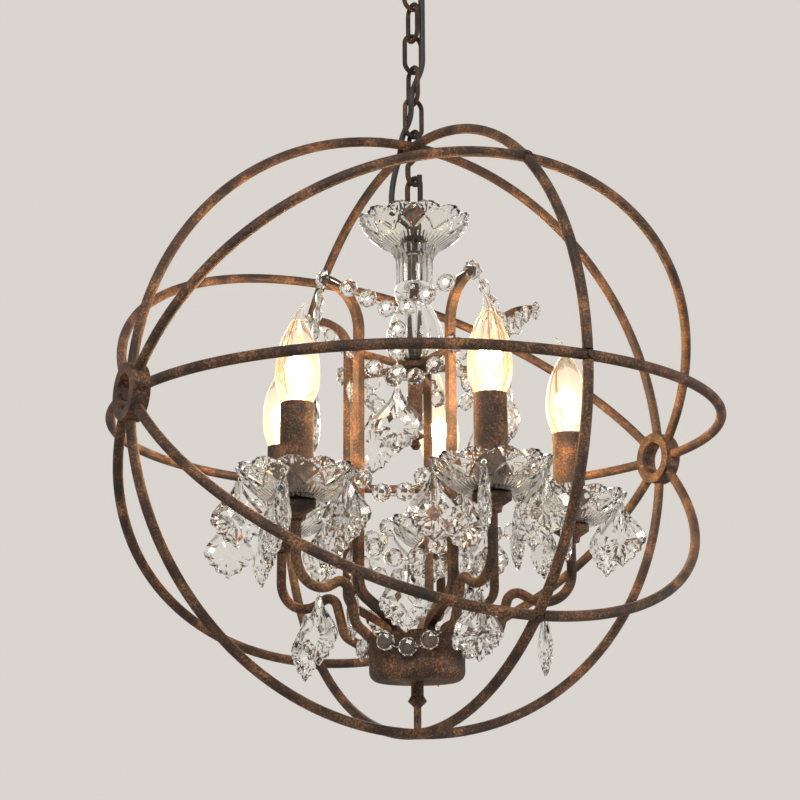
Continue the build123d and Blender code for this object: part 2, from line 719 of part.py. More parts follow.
def candle_arm():
    path = candle_route()
    tube = round_bar(path, CANDLE_TUBE_R)
    return (tube - round_bar(path, CANDLE_TUBE_R - CANDLE_TUBE_WALL)).solid()


def junction_cup():
    """Cup that gathers the candle arms and hides their wiring."""
    outside = disc(CUP_R, CUP_LOW, CUP_TOP)
    outside = fillet(outside.edges().group_by(Axis.Z)[0], CUP_EDGE_R)
    inside = disc(CUP_R - CUP_WALL, CUP_LOW + CUP_WALL, CUP_TOP + 1)
    inside = fillet(inside.edges().group_by(Axis.Z)[0], CUP_EDGE_R - CUP_WALL)
    cup = outside - inside
    cup -= disc(TIE_R + FIT, CUP_LOW - 1, CUP_TOP)
    path = candle_route()
    reach = 3 * ARM_ROOT_REACH
    bore = Plane(path @ 0, z_dir=path % 0) * Pos(0, 0, reach / 2) * Cylinder(CANDLE_TUBE_R + FIT, reach)
    for hole in around(bore, ARM_TURNS):
        cup -= hole
    return cup.solid()


def junction_lid():
    return disc(LID_R, CUP_TOP, LID_TOP, TIE_R + FIT)


def bottom_finial():
    """Turned knob under the junction cup, on a tie rod from the lid nut to the bottom crossing."""
    knob_z = CUP_LOW - KNOB_DOWN
    low = ORB_Z - ORB_R - BAR_R
    return spun(
        (0, LID_TOP + TIE_NUT_HEIGHT),
        (TIE_R, LID_TOP + TIE_NUT_HEIGHT),
        (TIE_R, CUP_LOW),
        (KNOB_NECK_R, CUP_LOW),
        (KNOB_NECK_R, CUP_LOW - KNOB_HEIGHT / 3),
        (KNOB_NECK_R, knob_z + KNOB_HEIGHT / 2),
        (KNOB_R, knob_z),
        (TIE_R, knob_z - KNOB_HEIGHT / 2),
        (TIE_R, low),
        (0, low),
    )


# Candles, made about their own axis

def drip_cup():
    """Turned cup on the end of a candle arm, with the nipple that passes through the dish."""
    low = DRIP_TOP - DRIP_CUP_HEIGHT
    return spun(
        (CANDLE_TUBE_R + FIT, low),
        (DRIP_NECK_R, low),
        (DRIP_NECK_R + 1, low + DRIP_CUP_HEIGHT / 3),
        (DRIP_CUP_R, DRIP_TOP - DRIP_CUP_RIM),
        (DRIP_CUP_R, DRIP_TOP),
        (CANDLE_NIPPLE_R, DRIP_TOP),
        (CANDLE_NIPPLE_R, HOLDER_LOW),
        (CANDLE_NIPPLE_BORE_R, HOLDER_LOW),
        (CANDLE_NIPPLE_BORE_R, ARM_TOP),
        (CANDLE_TUBE_R + FIT, ARM_TOP),
    )


def candle_sleeve():
    return disc(SLEEVE_R, SLEEVE_LOW, SLEEVE_LOW + SLEEVE_HEIGHT, SLEEVE_R - SLEEVE_WALL)


def lampholder():
    holder = disc(HOLDER_R, HOLDER_LOW, HOLDER_TOP, CANDLE_NIPPLE_BORE_R)
    return (holder - disc(HOLDER_BORE_R, HOLDER_TOP - HOLDER_BORE, HOLDER_TOP + 1)).solid()


def bulb():
    """Candle bulb with a screw cap and a bent flame tip that leans along -X, toward the stem."""
    base = HOLDER_TOP
    belly = ThreePointArc(
        (BULB_NECK_R, 0, base + 1),
        (0.3 * BULB_NECK_R + 0.7 * BULB_R, 0, base + 0.4 * BULB_BELLY_UP),
        (BULB_R, 0, base + BULB_BELLY_UP),
    )
    flank = ThreePointArc(
        (BULB_R, 0, base + BULB_BELLY_UP),
        (0.25 * BULB_SHOULDER_R + 0.75 * BULB_R, 0, base + (BULB_BELLY_UP + BULB_SHOULDER_UP) / 2),
        (BULB_SHOULDER_R, 0, base + BULB_SHOULDER_UP),
    )
    inside = Polyline(
        flank @ 1,
        (0, 0, base + BULB_SHOULDER_UP),
        (0, 0, base - CAP_SHELL),
        (CAP_SHELL_R, 0, base - CAP_SHELL),
        (CAP_SHELL_R, 0, base + 1),
        belly @ 0,
    )
    glass = revolve(make_face([belly, flank, *inside.edges()]), Axis.Z)
    rings = []
    for share in (0, 0.4, 0.75, 1.0):
        radius = BULB_SHOULDER_R + share * (BULB_TIP_R - BULB_SHOULDER_R)
        height = base + BULB_SHOULDER_UP + share * (BULB_TIP_UP - BULB_SHOULDER_UP)
        rings.append(Pos(-BULB_TIP_OUT * share**1.8, 0, height) * Circle(radius))
    return (glass + loft(rings)).solid()


# Crystals

def bead():
    """Flat octagon on its pins. The pins run along Z and the faces look along Y."""
    octagon = Rot(90, 0, 0) * RegularPolygon(BEAD_R, 8, major_radius=False, rotation=22.5)
    body = extrude(octagon, BEAD_THICK / 2, both=True)
    faces = body.faces().sort_by(Axis.Y)
    body = chamfer(faces[0].edges() + faces[-1].edges(), BEAD_CUT)
    reach = HALF_PITCH - PIN_GAP
    return (body + disc(PIN_R, -reach, reach)).solid()


def drop_outline(scale):
    """Leaf-shaped outline with a broad, notched lower edge, about a middle below its half height."""
    half = [
        (0.1, 0.0), (0.18, -0.1), (0.38, -0.22), (0.66, -0.34), (0.9, -0.46), (1.0, -0.57), (0.94, -0.65),
        (0.8, -0.69), (0.76, -0.77), (0.55, -0.8), (0.5, -0.88), (0.25, -0.91), (0.0, -1.0),
    ]
    middle = -0.6
    points = half + [(-x, z) for x, z in half[-2::-1]]
    return [
        (x * scale * DROP_WIDTH / 2, (middle + (z - middle) * scale) * DROP_LENGTH) for x, z in points
    ]


def drop():
    """Flat cut pendant on its pin. The pin's top is at the origin and the faces look along Y."""
    sections = []
    for y, scale in ((-0.5, DROP_TABLE), (-0.08, 1.0), (0.08, 1.0), (0.5, DROP_TABLE)):
        outline = Polyline(*[(x, y * DROP_THICK, z - DROP_PIN) for x, z in drop_outline(scale)], close=True)
        sections.append(make_face(outline.edges()))
    body = loft(sections, ruled=True)
    return (body + disc(PIN_R, -DROP_PIN - 0.6 * DROP_LENGTH * (1 - DROP_TABLE) - DROP_PIN, 0)).solid()


def rosette():
    """Star-cut button. Its faces look along Y."""
    sections = []
    for y, scale in ((-0.5, 0.45), (0.0, 1.0), (0.5, 0.45)):
        points = []
        for k in range(2 * ROSETTE_POINTS):
            radius = ROSETTE_R * scale * (1.0 if k % 2 == 0 else 0.82)
            turn = math.pi * k / ROSETTE_POINTS
            points.append((radius * math.cos(turn), y * ROSETTE_THICK, radius * math.sin(turn)))
        sections.append(make_face(Polyline(*points, close=True).edges()))
    return loft(sections, ruled=True).solid()


def facing_out(radius, turn, height):
    """Place for a crystal whose faces look away from the axis."""
    angle = math.radians(turn)
    return Pos(radius * math.cos(angle), radius * math.sin(angle), height) * Rot(0, 0, turn - 90)


def swag_step(chord, count):
    """Turn from bead to bead, in radians, that hangs a number of beads between two ends."""
    low, high = 1e-4, math.pi * 1.6 / count
    for _ in range(60):
        step = (low + high) / 2
        if math.sin(count * step / 2) / math.sin(step / 2) * BEAD_PITCH > chord:
            low = step
        else:
            high = step
    return low


def swag_arc(radius, end_in, count):
    """Turn from bead to bead and radius of the arc that a swag hangs in."""
    step = swag_step(2 * (radius * math.sin(math.pi / ARM_COUNT) - end_in), count)
    return step, BEAD_PITCH / 2 / math.sin(step / 2)


def between_arms(turn):
    """Directions outward and sideways, midway between an arm and the next."""
    middle = math.radians(turn + 180.0 / ARM_COUNT)
    return Vector(math.cos(middle), math.sin(middle), 0), Vector(-math.sin(middle), math.cos(middle), 0)


def swag(radius, height, end_in, count, turn):
    """Beads that hang in an arc between two places on neighbouring arms."""
    half_angle = math.pi / ARM_COUNT
    step, arc_r = swag_arc(radius, end_in, count)
    out, along = between_arms(turn)
    centre = out * (radius * math.cos(half_angle)) + Vector(0, 0, height + arc_r * math.cos(count * step / 2))
    beads = []
    for k in range(count):
        angle = (k - (count - 1) / 2) * step
        place = centre + along * (arc_r * math.sin(angle)) - Vector(0, 0, arc_r * math.cos(angle))
        run = along * math.cos(angle) + Vector(0, 0, math.sin(angle))
        beads.append(Plane(place, x_dir=out.cross(run), z_dir=run) * BEAD)
    return beads


def hanging(place, beads):
    """A pendant under a row of beads. The uppermost pin ends at the place."""
    row = [place * Pos(0, 0, -HALF_PITCH - k * BEAD_PITCH) * BEAD for k in range(beads)]
    return row + [place * Pos(0, 0, -beads * BEAD_PITCH) * DROP]


BEAD = bead()
DROP = drop()
ROSETTE = rosette()
HALF_TURN = math.pi / ARM_COUNT
TIP_ROSETTE_R = TIP_R + ROSETTE_THICK / 2
SWAG_R = TIP_ROSETTE_R * math.cos(HALF_TURN)
SWAG_LOW = TIP_Z - SWAG_FALL
SWAG_HALF = TIP_ROSETTE_R * math.sin(HALF_TURN) - ROSETTE_THICK / 2 / math.sin(HALF_TURN)
GARLAND_Z = SPIDER_TOP - GARLAND_DOWN
DISH_SWAG_END = DISH_R + SLIP + PIN_GAP


def hook_start(bar_half):
    """How far from a bar's axis a hook starts on its side."""
    return bar_half / math.cos(HALF_TURN) + PIN_R * math.tan(HALF_TURN) + SLIP


def garland_end(bar_half):
    return hook_start(bar_half) + GARLAND_HOOK + PIN_GAP


def under_swag(radius, height, end_in, count):
    """Height just under the middle of a swag with an even number of beads."""
    step, arc_r = swag_arc(radius, end_in, count)
    sag = arc_r / math.cos(step / 2) - arc_r * math.cos(count * step / 2)
    return height - sag - PIN_R - SLIP


def swag_side(turn, side):
    """Straight row of beads from the middle of a swag, with a link up to the back of a button."""
    out, along = between_arms(turn)
    run = (along * (side * SWAG_HALF) + Vector(0, 0, SWAG_FALL)).normalized()
    row = Plane(out * SWAG_R + Vector(0, 0, SWAG_LOW) + run * PIN_R, x_dir=out.cross(run), z_dir=run)
    beads = [row * Pos(0, 0, HALF_PITCH + k * BEAD_PITCH) * BEAD for k in range(SWAG_SIDE_BEADS)]
    length = math.hypot(SWAG_HALF, SWAG_FALL) - PIN_R - SWAG_START
    return beads + [row * disc(PIN_R, SWAG_SIDE_BEADS * BEAD_PITCH, length)]


def swag_beads():
    """Swags between the buttons on neighbouring scroll tips."""
    return group(piece for turn in ARM_TURNS for side in (-1, 1) for piece in swag_side(turn, side))


def garland(radius, height, bar_half, count, turn):
    """Swag between two neighbouring bars, with the short pins on their sides that it hangs from."""
    out, along = between_arms(turn)
    half_chord = radius * math.sin(HALF_TURN) - hook_start(bar_half)
    middle = out * (radius * math.cos(HALF_TURN)) + Vector(0, 0, height)
    pin = disc(PIN_R, 0, GARLAND_HOOK)
    hooks = [Plane(middle + along * (s * half_chord), z_dir=along * -s) * pin for s in (-1, 1)]
    return swag(radius, height, garland_end(bar_half), count, turn) + hooks


def garland_beads():
    """Garlands from scroll bar to scroll bar: one row under the spider and one above the lid."""
    pieces = []
    for turn in ARM_TURNS:
        for height in (SPIDER_LOW - HIGH_GARLAND_DOWN, GARLAND_Z):
            pieces += garland(SCROLL_R, height, SCROLL_WIDTH / 2, GARLAND_BEADS, turn)
    return group(pieces)


def cup_swags():
    """Garlands round the junction cup, from arm to arm. A sloping arm is a little narrower across them."""
    height = CUP_TOP - ARM_ROOT_DOWN + arm_slope() * CUP_SWAG_OUT
    pieces = []
    for turn in ARM_TURNS:
        pieces += garland(CUP_R + CUP_SWAG_OUT, height, 0.9 * CANDLE_TUBE_R, CUP_SWAG_BEADS, turn)
    return group(pieces)


def dish_swags():
    """Swags from the rim of each candle's dish to the next."""
    height = DISH_Z + DISH_DEPTH - DISH_SWAG_DOWN
    return group(b for turn in ARM_TURNS for b in swag(CANDLE_R, height, DISH_SWAG_END, DISH_SWAG_BEADS, turn))


def rosettes():
    """Buttons at the scroll tips and on the scroll bars beside the spider."""
    places = [(TIP_ROSETTE_R, TIP_Z), (SCROLL_FACE_R + ROSETTE_THICK / 2, SPIDER_TOP)]
    return group(facing_out(r, turn, z) * ROSETTE for turn in ARM_TURNS for r, z in places)


def frame_drops():
    """Pendants under the candle arms' troughs and the lower garlands' middles."""
    low = under_swag(SCROLL_R, GARLAND_Z, garland_end(SCROLL_WIDTH / 2), GARLAND_BEADS)
    between = 180.0 / ARM_COUNT
    pieces = []
    for turn in ARM_TURNS:
        pieces += hanging(facing_out(TROUGH_R, turn, UNDER_TROUGH), 0)
        pieces += hanging(facing_out(SCROLL_R * math.cos(HALF_TURN), turn + between, low), 0)
    return group(pieces)


def swag_strand(turn, beads):
    """Link, beads and a pendant that hang from the middle of the swag after an arm."""
    place = facing_out(SWAG_R, turn + 180.0 / ARM_COUNT, SWAG_LOW - PIN_R - SLIP)
    link = place * disc(PIN_R, -STRAND_LINK, 0)
    return group([link, *hanging(place * Pos(0, 0, -STRAND_LINK), beads)])


def candle_drops():
    """Pendants round a dish, about the candle axis with +X away from the stem.

    They hang edge outward, apart from the one nearest the stem, which faces it.
    """
    ring_r = DISH_VALLEY_R - DISH_DROP_IN
    pin_top = DISH_Z + dish_height_at(ring_r - PIN_R) - SLIP
    pieces = []
    for k in range(DISH_DROPS):
        turn = 360.0 / DISH_DROPS * (k + 0.5)
        yaw = 0 if math.isclose(turn, 180.0) else 90
        pieces += hanging(facing_out(ring_r, turn, pin_top) * Rot(0, 0, yaw), 0)
    return pieces


def at_candle(turn):
    return Rot(0, 0, turn) * Pos(CANDLE_R, 0, 0)


def all_nodes():
    orb = Pos(0, 0, ORB_Z)
    nodes = {
        "ceiling_rose": ceiling_rose(),
        "mounting_bar": mounting_bar(),
        "rose_nipple": nipple(),
        "collar_nut": collar_nut(),
        "rose_loop": rose_loop(),
        "terminal_block": terminal_block(),
        "chain_top_link": chain_link(0),
        "chain_links": group(chain_link(k) for k in range(1, LINK_COUNT)),
        **cord_pieces(),
        **{f"cage_bar_{k + 1}": orb * cage_bar(k) for k in range(BAR_COUNT)},
        "cross_ring": orb * cross_ring(),
        "hub_left": orb * hub(-1),
        "hub_right": orb * hub(1),
        "cage_screws": group(orb * screw for screw in cage_screws().solids()),
        "orb_eye": orb * orb_eye(),
        "inner_hook": orb * inner_hook(),
        "stem_bail": stem_bail(),
        "centre_stem": centre_stem(),
        "frame_nuts": frame_nuts(),
        "crown_dish": crown_dish(),
        "column_tube": column_tube(),
        "column_vase": column_vase(),
        "spider": spider(),
        "stem_finial": stem_finial(),
        "junction_cup": junction_cup(),
        "junction_lid": junction_lid(),
        "bottom_finial": bottom_finial(),
        "scroll_bars": group(around(scroll_bar(), ARM_TURNS)),
        "candle_arms": group(around(candle_arm(), ARM_TURNS)),
        "drip_cups": group(at_candle(turn) * drip_cup() for turn in ARM_TURNS),
        "candle_sleeves": group(at_candle(turn) * candle_sleeve() for turn in ARM_TURNS),
        "lampholders": group(at_candle(turn) * lampholder() for turn in ARM_TURNS),
        "swag_beads": swag_beads(),
        "garland_beads": garland_beads(),
        "cup_swags": cup_swags(),
        "dish_swags": dish_swags(),
        "rosettes": rosettes(),
        "frame_drops": frame_drops(),
    }
    dish = Pos(0, 0, DISH_Z) * glass_dish(CANDLE_NIPPLE_R + SLIP)
    nodes["glass_dishes"] = group(at_candle(turn) * dish for turn in ARM_TURNS)
    drops = candle_drops()
    nodes["dish_drops"] = group(at_candle(turn) * piece for turn in ARM_TURNS for piece in drops)
    for k, turn in enumerate(ARM_TURNS):
        nodes[f"swag_strand_{k + 1}"] = swag_strand(turn, STRAND_BEADS[k])
        nodes[f"bulb_{k + 1}"] = at_candle(turn) * bulb()
    return nodes


os.makedirs("parts", exist_ok=True)
for name, shape in all_nodes().items():
    export_step(shape, f"parts/{name}.step")
print("orb centre", round(ORB_Z, 2))
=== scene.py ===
import json
import math

import bpy
from mathutils import Matrix, Vector


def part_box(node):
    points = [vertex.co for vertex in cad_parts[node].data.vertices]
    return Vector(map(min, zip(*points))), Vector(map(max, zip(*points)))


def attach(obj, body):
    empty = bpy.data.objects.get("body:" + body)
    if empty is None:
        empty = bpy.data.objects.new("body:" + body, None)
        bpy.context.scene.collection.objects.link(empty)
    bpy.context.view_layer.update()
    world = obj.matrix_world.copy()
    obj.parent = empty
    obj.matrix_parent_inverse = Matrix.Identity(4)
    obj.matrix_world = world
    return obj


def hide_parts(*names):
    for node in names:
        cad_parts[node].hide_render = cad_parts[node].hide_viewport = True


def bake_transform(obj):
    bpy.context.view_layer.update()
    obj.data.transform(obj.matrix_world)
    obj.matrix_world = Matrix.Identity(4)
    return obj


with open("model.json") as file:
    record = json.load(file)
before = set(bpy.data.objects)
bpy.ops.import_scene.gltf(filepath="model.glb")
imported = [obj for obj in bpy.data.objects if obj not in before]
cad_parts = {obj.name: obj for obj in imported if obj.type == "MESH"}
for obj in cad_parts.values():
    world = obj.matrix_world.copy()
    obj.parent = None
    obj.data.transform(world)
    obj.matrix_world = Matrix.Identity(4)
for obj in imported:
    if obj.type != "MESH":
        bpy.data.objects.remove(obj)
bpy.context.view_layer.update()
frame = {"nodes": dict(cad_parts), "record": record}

MM = 0.001
JOINTS = {joint["name"]: joint for joint in frame["record"]["behaviour"]["joints"]}
ARM_COUNT = 5

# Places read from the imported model
ORB_LOW, ORB_HIGH = (Vector(corner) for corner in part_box("cross_ring"))
ORB = (ORB_LOW + ORB_HIGH) / 2
BULBS = [Vector(JOINTS[f"bulb_turn_{k}"]["pos_m"]) for k in range(1, ARM_COUNT + 1)]
STRANDS = [Vector(JOINTS[f"strand_swing_{k}"]["pos_m"]) for k in range(1, ARM_COUNT + 1)]
ARM_TURNS = [math.atan2(place.y, place.x) for place in BULBS]
CANDLE_R = BULBS[0].xy.length
DISH_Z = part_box("glass_dishes")[0][2]
SPIDER_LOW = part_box("spider")[0][2]
SPIDER_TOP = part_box("spider")[1][2]
CROWN_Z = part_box("crown_dish")[0][2]
VASE_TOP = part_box("column_vase")[1][2]
CUP_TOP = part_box("junction_cup")[1][2]

# Crystal sizes, as in the part
BEAD_R = 7.0 * MM
BEAD_THICK = 6.0 * MM
BEAD_PITCH = 17.8 * MM
DROP_LENGTH = 52.0 * MM
DROP_WIDTH = 42.0 * MM
DROP_THICK = 9.0 * MM
DROP_PIN = 3.0 * MM
DROP_DENT = 1.3 * MM
ROSETTE_R = 8.5 * MM
ROSETTE_THICK = 7.0 * MM
WIRE_R = 0.45 * MM
RING_R = 1.7 * MM
SLIP = 0.3 * MM
TIP_R = 99.0 * MM
TIP_ROSETTE_R = TIP_R + ROSETTE_THICK / 2
TIP_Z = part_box("rosettes")[1][2] - ROSETTE_R
SCROLL_R = 63.0 * MM
SCROLL_WIDTH = 6.5 * MM
SCROLL_ROSETTE_R = SCROLL_R + SCROLL_WIDTH / 2 + ROSETTE_THICK / 2
PIN_R = 0.7 * MM
PIN_GAP = 0.3 * MM
HALF_TURN = math.pi / ARM_COUNT
SWAG_SIDE_BEADS = 3
SWAG_FALL = 32.0 * MM
SWAG_START = 1.0 * MM
SWAG_R = TIP_ROSETTE_R * math.cos(HALF_TURN)
SWAG_HALF = TIP_ROSETTE_R * math.sin(HALF_TURN) - ROSETTE_THICK / 2 / math.sin(HALF_TURN)
STRAND_BEADS = (2, 2, 2, 2, 3)
STRAND_LINK = 3.0 * MM
GARLAND_BEADS = 4
HIGH_GARLAND_Z = SPIDER_LOW - 4.0 * MM
GARLAND_Z = SPIDER_TOP - 152.0 * MM
GARLAND_HOOK = 2.0 * MM
CUP_SWAG_BEADS = 3
CUP_SWAG_R = 54.0 * MM
CUP_SWAG_Z = CUP_TOP - 0.1 * MM
DISH_SWAG_BEADS = 4
DISH_SWAG_Z = DISH_Z + 24.0 * MM
DISH_SWAG_END = 47.8 * MM
DISH_DROPS = 5
DISH_DROP_R = 44.0 * MM
DISH_DROP_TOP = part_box("dish_drops")[1][2]
TROUGH_R = CANDLE_R - 23.68 * MM
TROUGH_LOW = CUP_TOP + 27.3 * MM
ARM_TUBE_R = 4.0 * MM

# Glass sizes, as in the part
DISH_R = 47.2 * MM
DISH_VALLEY_R = 45.0 * MM
DISH_DEPTH = 27.0 * MM
DISH_FLAT_R = 16.0 * MM
DISH_WALL = 4.0 * MM
DISH_LOBES = 12
CUT_DEPTH = 1.7 * MM
RIM_NOTCH = 3.6 * MM
PANEL_LOW = 0.3
PANEL_HIGH = 0.96
CANDLE_HOLE_R = 5.3 * MM
STEM_HOLE_R = 6.3 * MM
SEAT_GAP = 0.3 * MM
TUBE_R = 15.5 * MM
TUBE_WAIST_R = 15.3 * MM
TUBE_BORE_R = 12.5 * MM
TUBE_TOP = 5.0 * MM
TUBE_FLUTES = 14
TUBE_FLUTE_SHARE = 0.07
FLANGE_R = 20.0 * MM
VASE_TOP_R = 15.0 * MM
VASE_RING_R = 16.5 * MM
VASE_RING_HEIGHT = 15.0 * MM
VASE_NECK_R = 13.0 * MM
VASE_NECK_DOWN = 17.0 * MM
VASE_R = 24.5 * MM
VASE_BELLY_DOWN = 50.0 * MM
VASE_PETALS = 9
VASE_PETAL_SHARE = 0.14


# Mesh building

class Shape:
    """Vertices and faces gathered from several pieces, each with its material's number."""

    def __init__(self):
        self.verts = []
        self.faces = []
        self.numbers = []

    def add(self, piece, place=Matrix.Identity(4), number=0):
        verts, faces = piece
        first = len(self.verts)
        self.verts += [place @ Vector(v) for v in verts]
        self.faces += [[first + i for i in face] for face in faces]
        self.numbers += [number] * len(faces)
        return self

    def make(self, name, materials, smooth_angle=None):
        mesh = bpy.data.meshes.new(name)
        mesh.from_pydata(self.verts, [], self.faces)
        for material in materials:
            mesh.materials.append(material)
        mesh.polygons.foreach_set("material_index", self.numbers)
        mesh.validate()
        mesh.update()
        if smooth_angle is not None:
            mesh.polygons.foreach_set("use_smooth", [True] * len(mesh.polygons))
            mesh.set_sharp_from_angle(angle=math.radians(smooth_angle))
        piece = bpy.data.objects.new(name, mesh)
        bpy.context.scene.collection.objects.link(piece)
        return piece


def rings_to_faces(count, sides, closed=False):
    """Quads between rows of points, each row a closed ring."""
    faces = []
    for row in range(count if closed else count - 1):
        after = (row + 1) % count
        for i in range(sides):
            j = (i + 1) % sides
            faces.append([row * sides + i, row * sides + j, after * sides + j, after * sides + i])
    return faces


def tube(points, radius, sides=8):
    """Closed round bar along points."""
    points = [Vector(p) for p in points]
    verts = []
    side = Vector((1, 0, 0))
    for i, point in enumerate(points):
        run = (points[min(i + 1, len(points) - 1)] - points[max(i - 1, 0)]).normalized()
        side = side - run * side.dot(run)
        if side.length < 1e-6:
            side = run.orthogonal()
        side.normalize()
        up = run.cross(side)
        for k in range(sides):
            turn = 2 * math.pi * k / sides
            verts.append(point + (side * math.cos(turn) + up * math.sin(turn)) * radius)
    faces = rings_to_faces(len(points), sides)
    last = (len(points) - 1) * sides
    faces.append(list(range(sides))[::-1])
    faces.append(list(range(last, last + sides)))
    return verts, faces


def wire_ring(radius, wire_r, around=16, sides=6):
    """Small ring of wire in the YZ plane."""
    verts = []
    for i in range(around):
        turn = 2 * math.pi * i / around
        for k in range(sides):
            roll = 2 * math.pi * k / sides
            reach = radius + wire_r * math.cos(roll)
            verts.append((wire_r * math.sin(roll), reach * math.cos(turn), reach * math.sin(turn)))
    return verts, rings_to_faces(around, sides, closed=True)


def lathe(profile, sides, reach=None):
    """Closed glass form turned about Z. reach(turn, share) scales the radius of each point."""
    verts = []
    for row, (radius, height) in enumerate(profile):
        for k in range(sides):
            turn = 2 * math.pi * k / sides
            scale = reach(turn, row / (len(profile) - 1)) if reach else 1.0
            verts.append((radius * scale * math.cos(turn), radius * scale * math.sin(turn), height))
    return verts, rings_to_faces(len(profile), sides, closed=True)


def arc(start, through, end, steps):
    """Points on the circle through three (radius, height) points."""
    (ax, ay), (bx, by), (cx, cy) = start, through, end
    d = 2 * (ax * (by - cy) + bx * (cy - ay) + cx * (ay - by))
    a2, b2, c2 = ax**2 + ay**2, bx**2 + by**2, cx**2 + cy**2
    ux = (a2 * (by - cy) + b2 * (cy - ay) + c2 * (ay - by)) / d
    uy = (a2 * (cx - bx) + b2 * (ax - cx) + c2 * (bx - ax)) / d
    radius = math.hypot(ax - ux, ay - uy)
    first, middle, last = (math.atan2(y - uy, x - ux) for x, y in (start, through, end))
    sweep = (last - first) % (2 * math.pi)
    if (middle - first) % (2 * math.pi) > sweep:
        sweep -= 2 * math.pi
    turns = [first + sweep * i / steps for i in range(steps + 1)]
    return [(ux + radius * math.cos(t), uy + radius * math.sin(t)) for t in turns]


# Materials

class Nodes:
    """A node material with its shader, and short ways to add and join nodes."""

    def __init__(self, name):
        self.material = bpy.data.materials.new(name)
        self.material.use_nodes = True
        self.tree = self.material.node_tree
        self.shader = self.tree.nodes["Principled BSDF"]
        self.coords = self.tree.nodes.new("ShaderNodeTexCoord").outputs["Object"]

    def set(self, **values):
        for name, value in values.items():
            self.shader.inputs[name.replace("_", " ")].default_value = value

    def join(self, output, socket):
        self.tree.links.new(output, socket)

    def noise(self, scale, detail=4.0, roughness=0.6, coords=None):
        node = self.tree.nodes.new("ShaderNodeTexNoise")
        node.inputs["Scale"].default_value = scale
        node.inputs["Detail"].default_value = detail
        node.inputs["Roughness"].default_value = roughness
        self.join(coords or self.coords, node.inputs["Vector"])
        return node.outputs["Fac"]

    def math(self, kind, first, second):
        node = self.tree.nodes.new("ShaderNodeMath")
        node.operation = kind
        for socket, value in zip(node.inputs, (first, second)):
            if isinstance(value, (int, float)):
                socket.default_value = value
            else:
                self.join(value, socket)
        return node.outputs[0]

    def ramp(self, value, stops):
        node = self.tree.nodes.new("ShaderNodeValToRGB")
        points = node.color_ramp.elements
        while len(points) < len(stops):
            points.new(0.5)
        for point, (place, colour) in zip(points, stops):
            point.position = place
            point.color = (*colour, 1.0)
        self.join(value, node.inputs["Fac"])
        return node.outputs["Color"]

    def span(self, value, low, high, to_low, to_high):
        node = self.tree.nodes.new("ShaderNodeMapRange")
        for name, number in zip(("From Min", "From Max", "To Min", "To Max"), (low, high, to_low, to_high)):
            node.inputs[name].default_value = number
        self.join(value, node.inputs["Value"])
        return node.outputs["Result"]

    def bump(self, height, strength, distance):
        node = self.tree.nodes.new("ShaderNodeBump")
        node.inputs["Strength"].default_value = strength
        node.inputs["Distance"].default_value = distance
        self.join(height, node.inputs["Height"])
        self.join(node.outputs["Normal"], self.shader.inputs["Normal"])


def rust(name, stops, patch_scale=45.0, grain_scale=620.0, metal=0.2):
    """Iron with a grainy rust finish: fine specks over wider patches."""
    n = Nodes(name)
    patches = n.noise(patch_scale, 4.0, 0.55)
    grain = n.noise(grain_scale, 6.0, 0.75)
    blend = n.math("ADD", n.math("MULTIPLY", patches, 0.35), n.math("MULTIPLY", grain, 0.65))
    n.join(n.ramp(blend, stops), n.shader.inputs["Base Color"])
    n.join(n.span(grain, 0.3, 0.7, 0.5, 0.85), n.shader.inputs["Roughness"])
    n.set(Metallic=metal)
    n.bump(grain, 0.45, 0.6 * MM)
    return n.material


def glass(name, tint, ior, ripple_scale, ripple):
    """Clear glass with faint ripples and slightly uneven polish."""
    n = Nodes(name)
    ripples = n.noise(ripple_scale, 2.0, 0.5)
    n.set(Base_Color=(*tint, 1.0), Transmission_Weight=1.0, IOR=ior)
    n.join(n.span(ripples, 0.3, 0.7, 0.0, 0.03), n.shader.inputs["Roughness"])
    n.bump(ripples, ripple, 0.4 * MM)
    return n.material


def worn_metal(name, dark, bright, roughness, scale):
    n = Nodes(name)
    marks = n.noise(scale, 5.0, 0.65)
    n.join(n.ramp(marks, [(0.35, dark), (0.65, bright)]), n.shader.inputs["Base Color"])
    n.join(n.span(marks, 0.3, 0.7, roughness - 0.08, roughness + 0.1), n.shader.inputs["Roughness"])
    n.set(Metallic=1.0)
    n.bump(marks, 0.15, 0.2 * MM)
    return n.material


def dull(name, dark, bright, roughness, scale, bump):
    n = Nodes(name)
    marks = n.noise(scale, 5.0, 0.6)
    n.join(n.ramp(marks, [(0.3, dark), (0.7, bright)]), n.shader.inputs["Base Color"])
    n.join(n.span(marks, 0.3, 0.7, roughness - 0.06, roughness + 0.08), n.shader.inputs["Roughness"])
    n.bump(marks, bump, 0.3 * MM)
    return n.material


RUST = rust("rust_iron", [
    (0.42, (0.012, 0.007, 0.005)), (0.485, (0.04, 0.02, 0.012)),
    (0.535, (0.1, 0.047, 0.024)), (0.61, (0.34, 0.165, 0.07)),
])
DARK_IRON = rust("dark_iron", [
    (0.41, (0.008, 0.005, 0.004)), (0.49, (0.024, 0.013, 0.008)),
    (0.55, (0.06, 0.03, 0.016)), (0.63, (0.18, 0.09, 0.042)),
], metal=0.35)
ZINC = worn_metal("zinc_steel", (0.34, 0.34, 0.33), (0.58, 0.58, 0.57), 0.4, 260.0)
WIRE = worn_metal("nickel_wire", (0.42, 0.39, 0.34), (0.72, 0.69, 0.62), 0.25, 700.0)
BRASS = worn_metal("brass_cap", (0.45, 0.29, 0.11), (0.72, 0.52, 0.22), 0.32, 420.0)
PORCELAIN = dull("white_plastic", (0.62, 0.58, 0.51), (0.78, 0.75, 0.69), 0.5, 120.0, 0.1)
CORD_BLACK = dull("cord_black", (0.008, 0.008, 0.008), (0.03, 0.028, 0.026), 0.62, 900.0, 0.4)
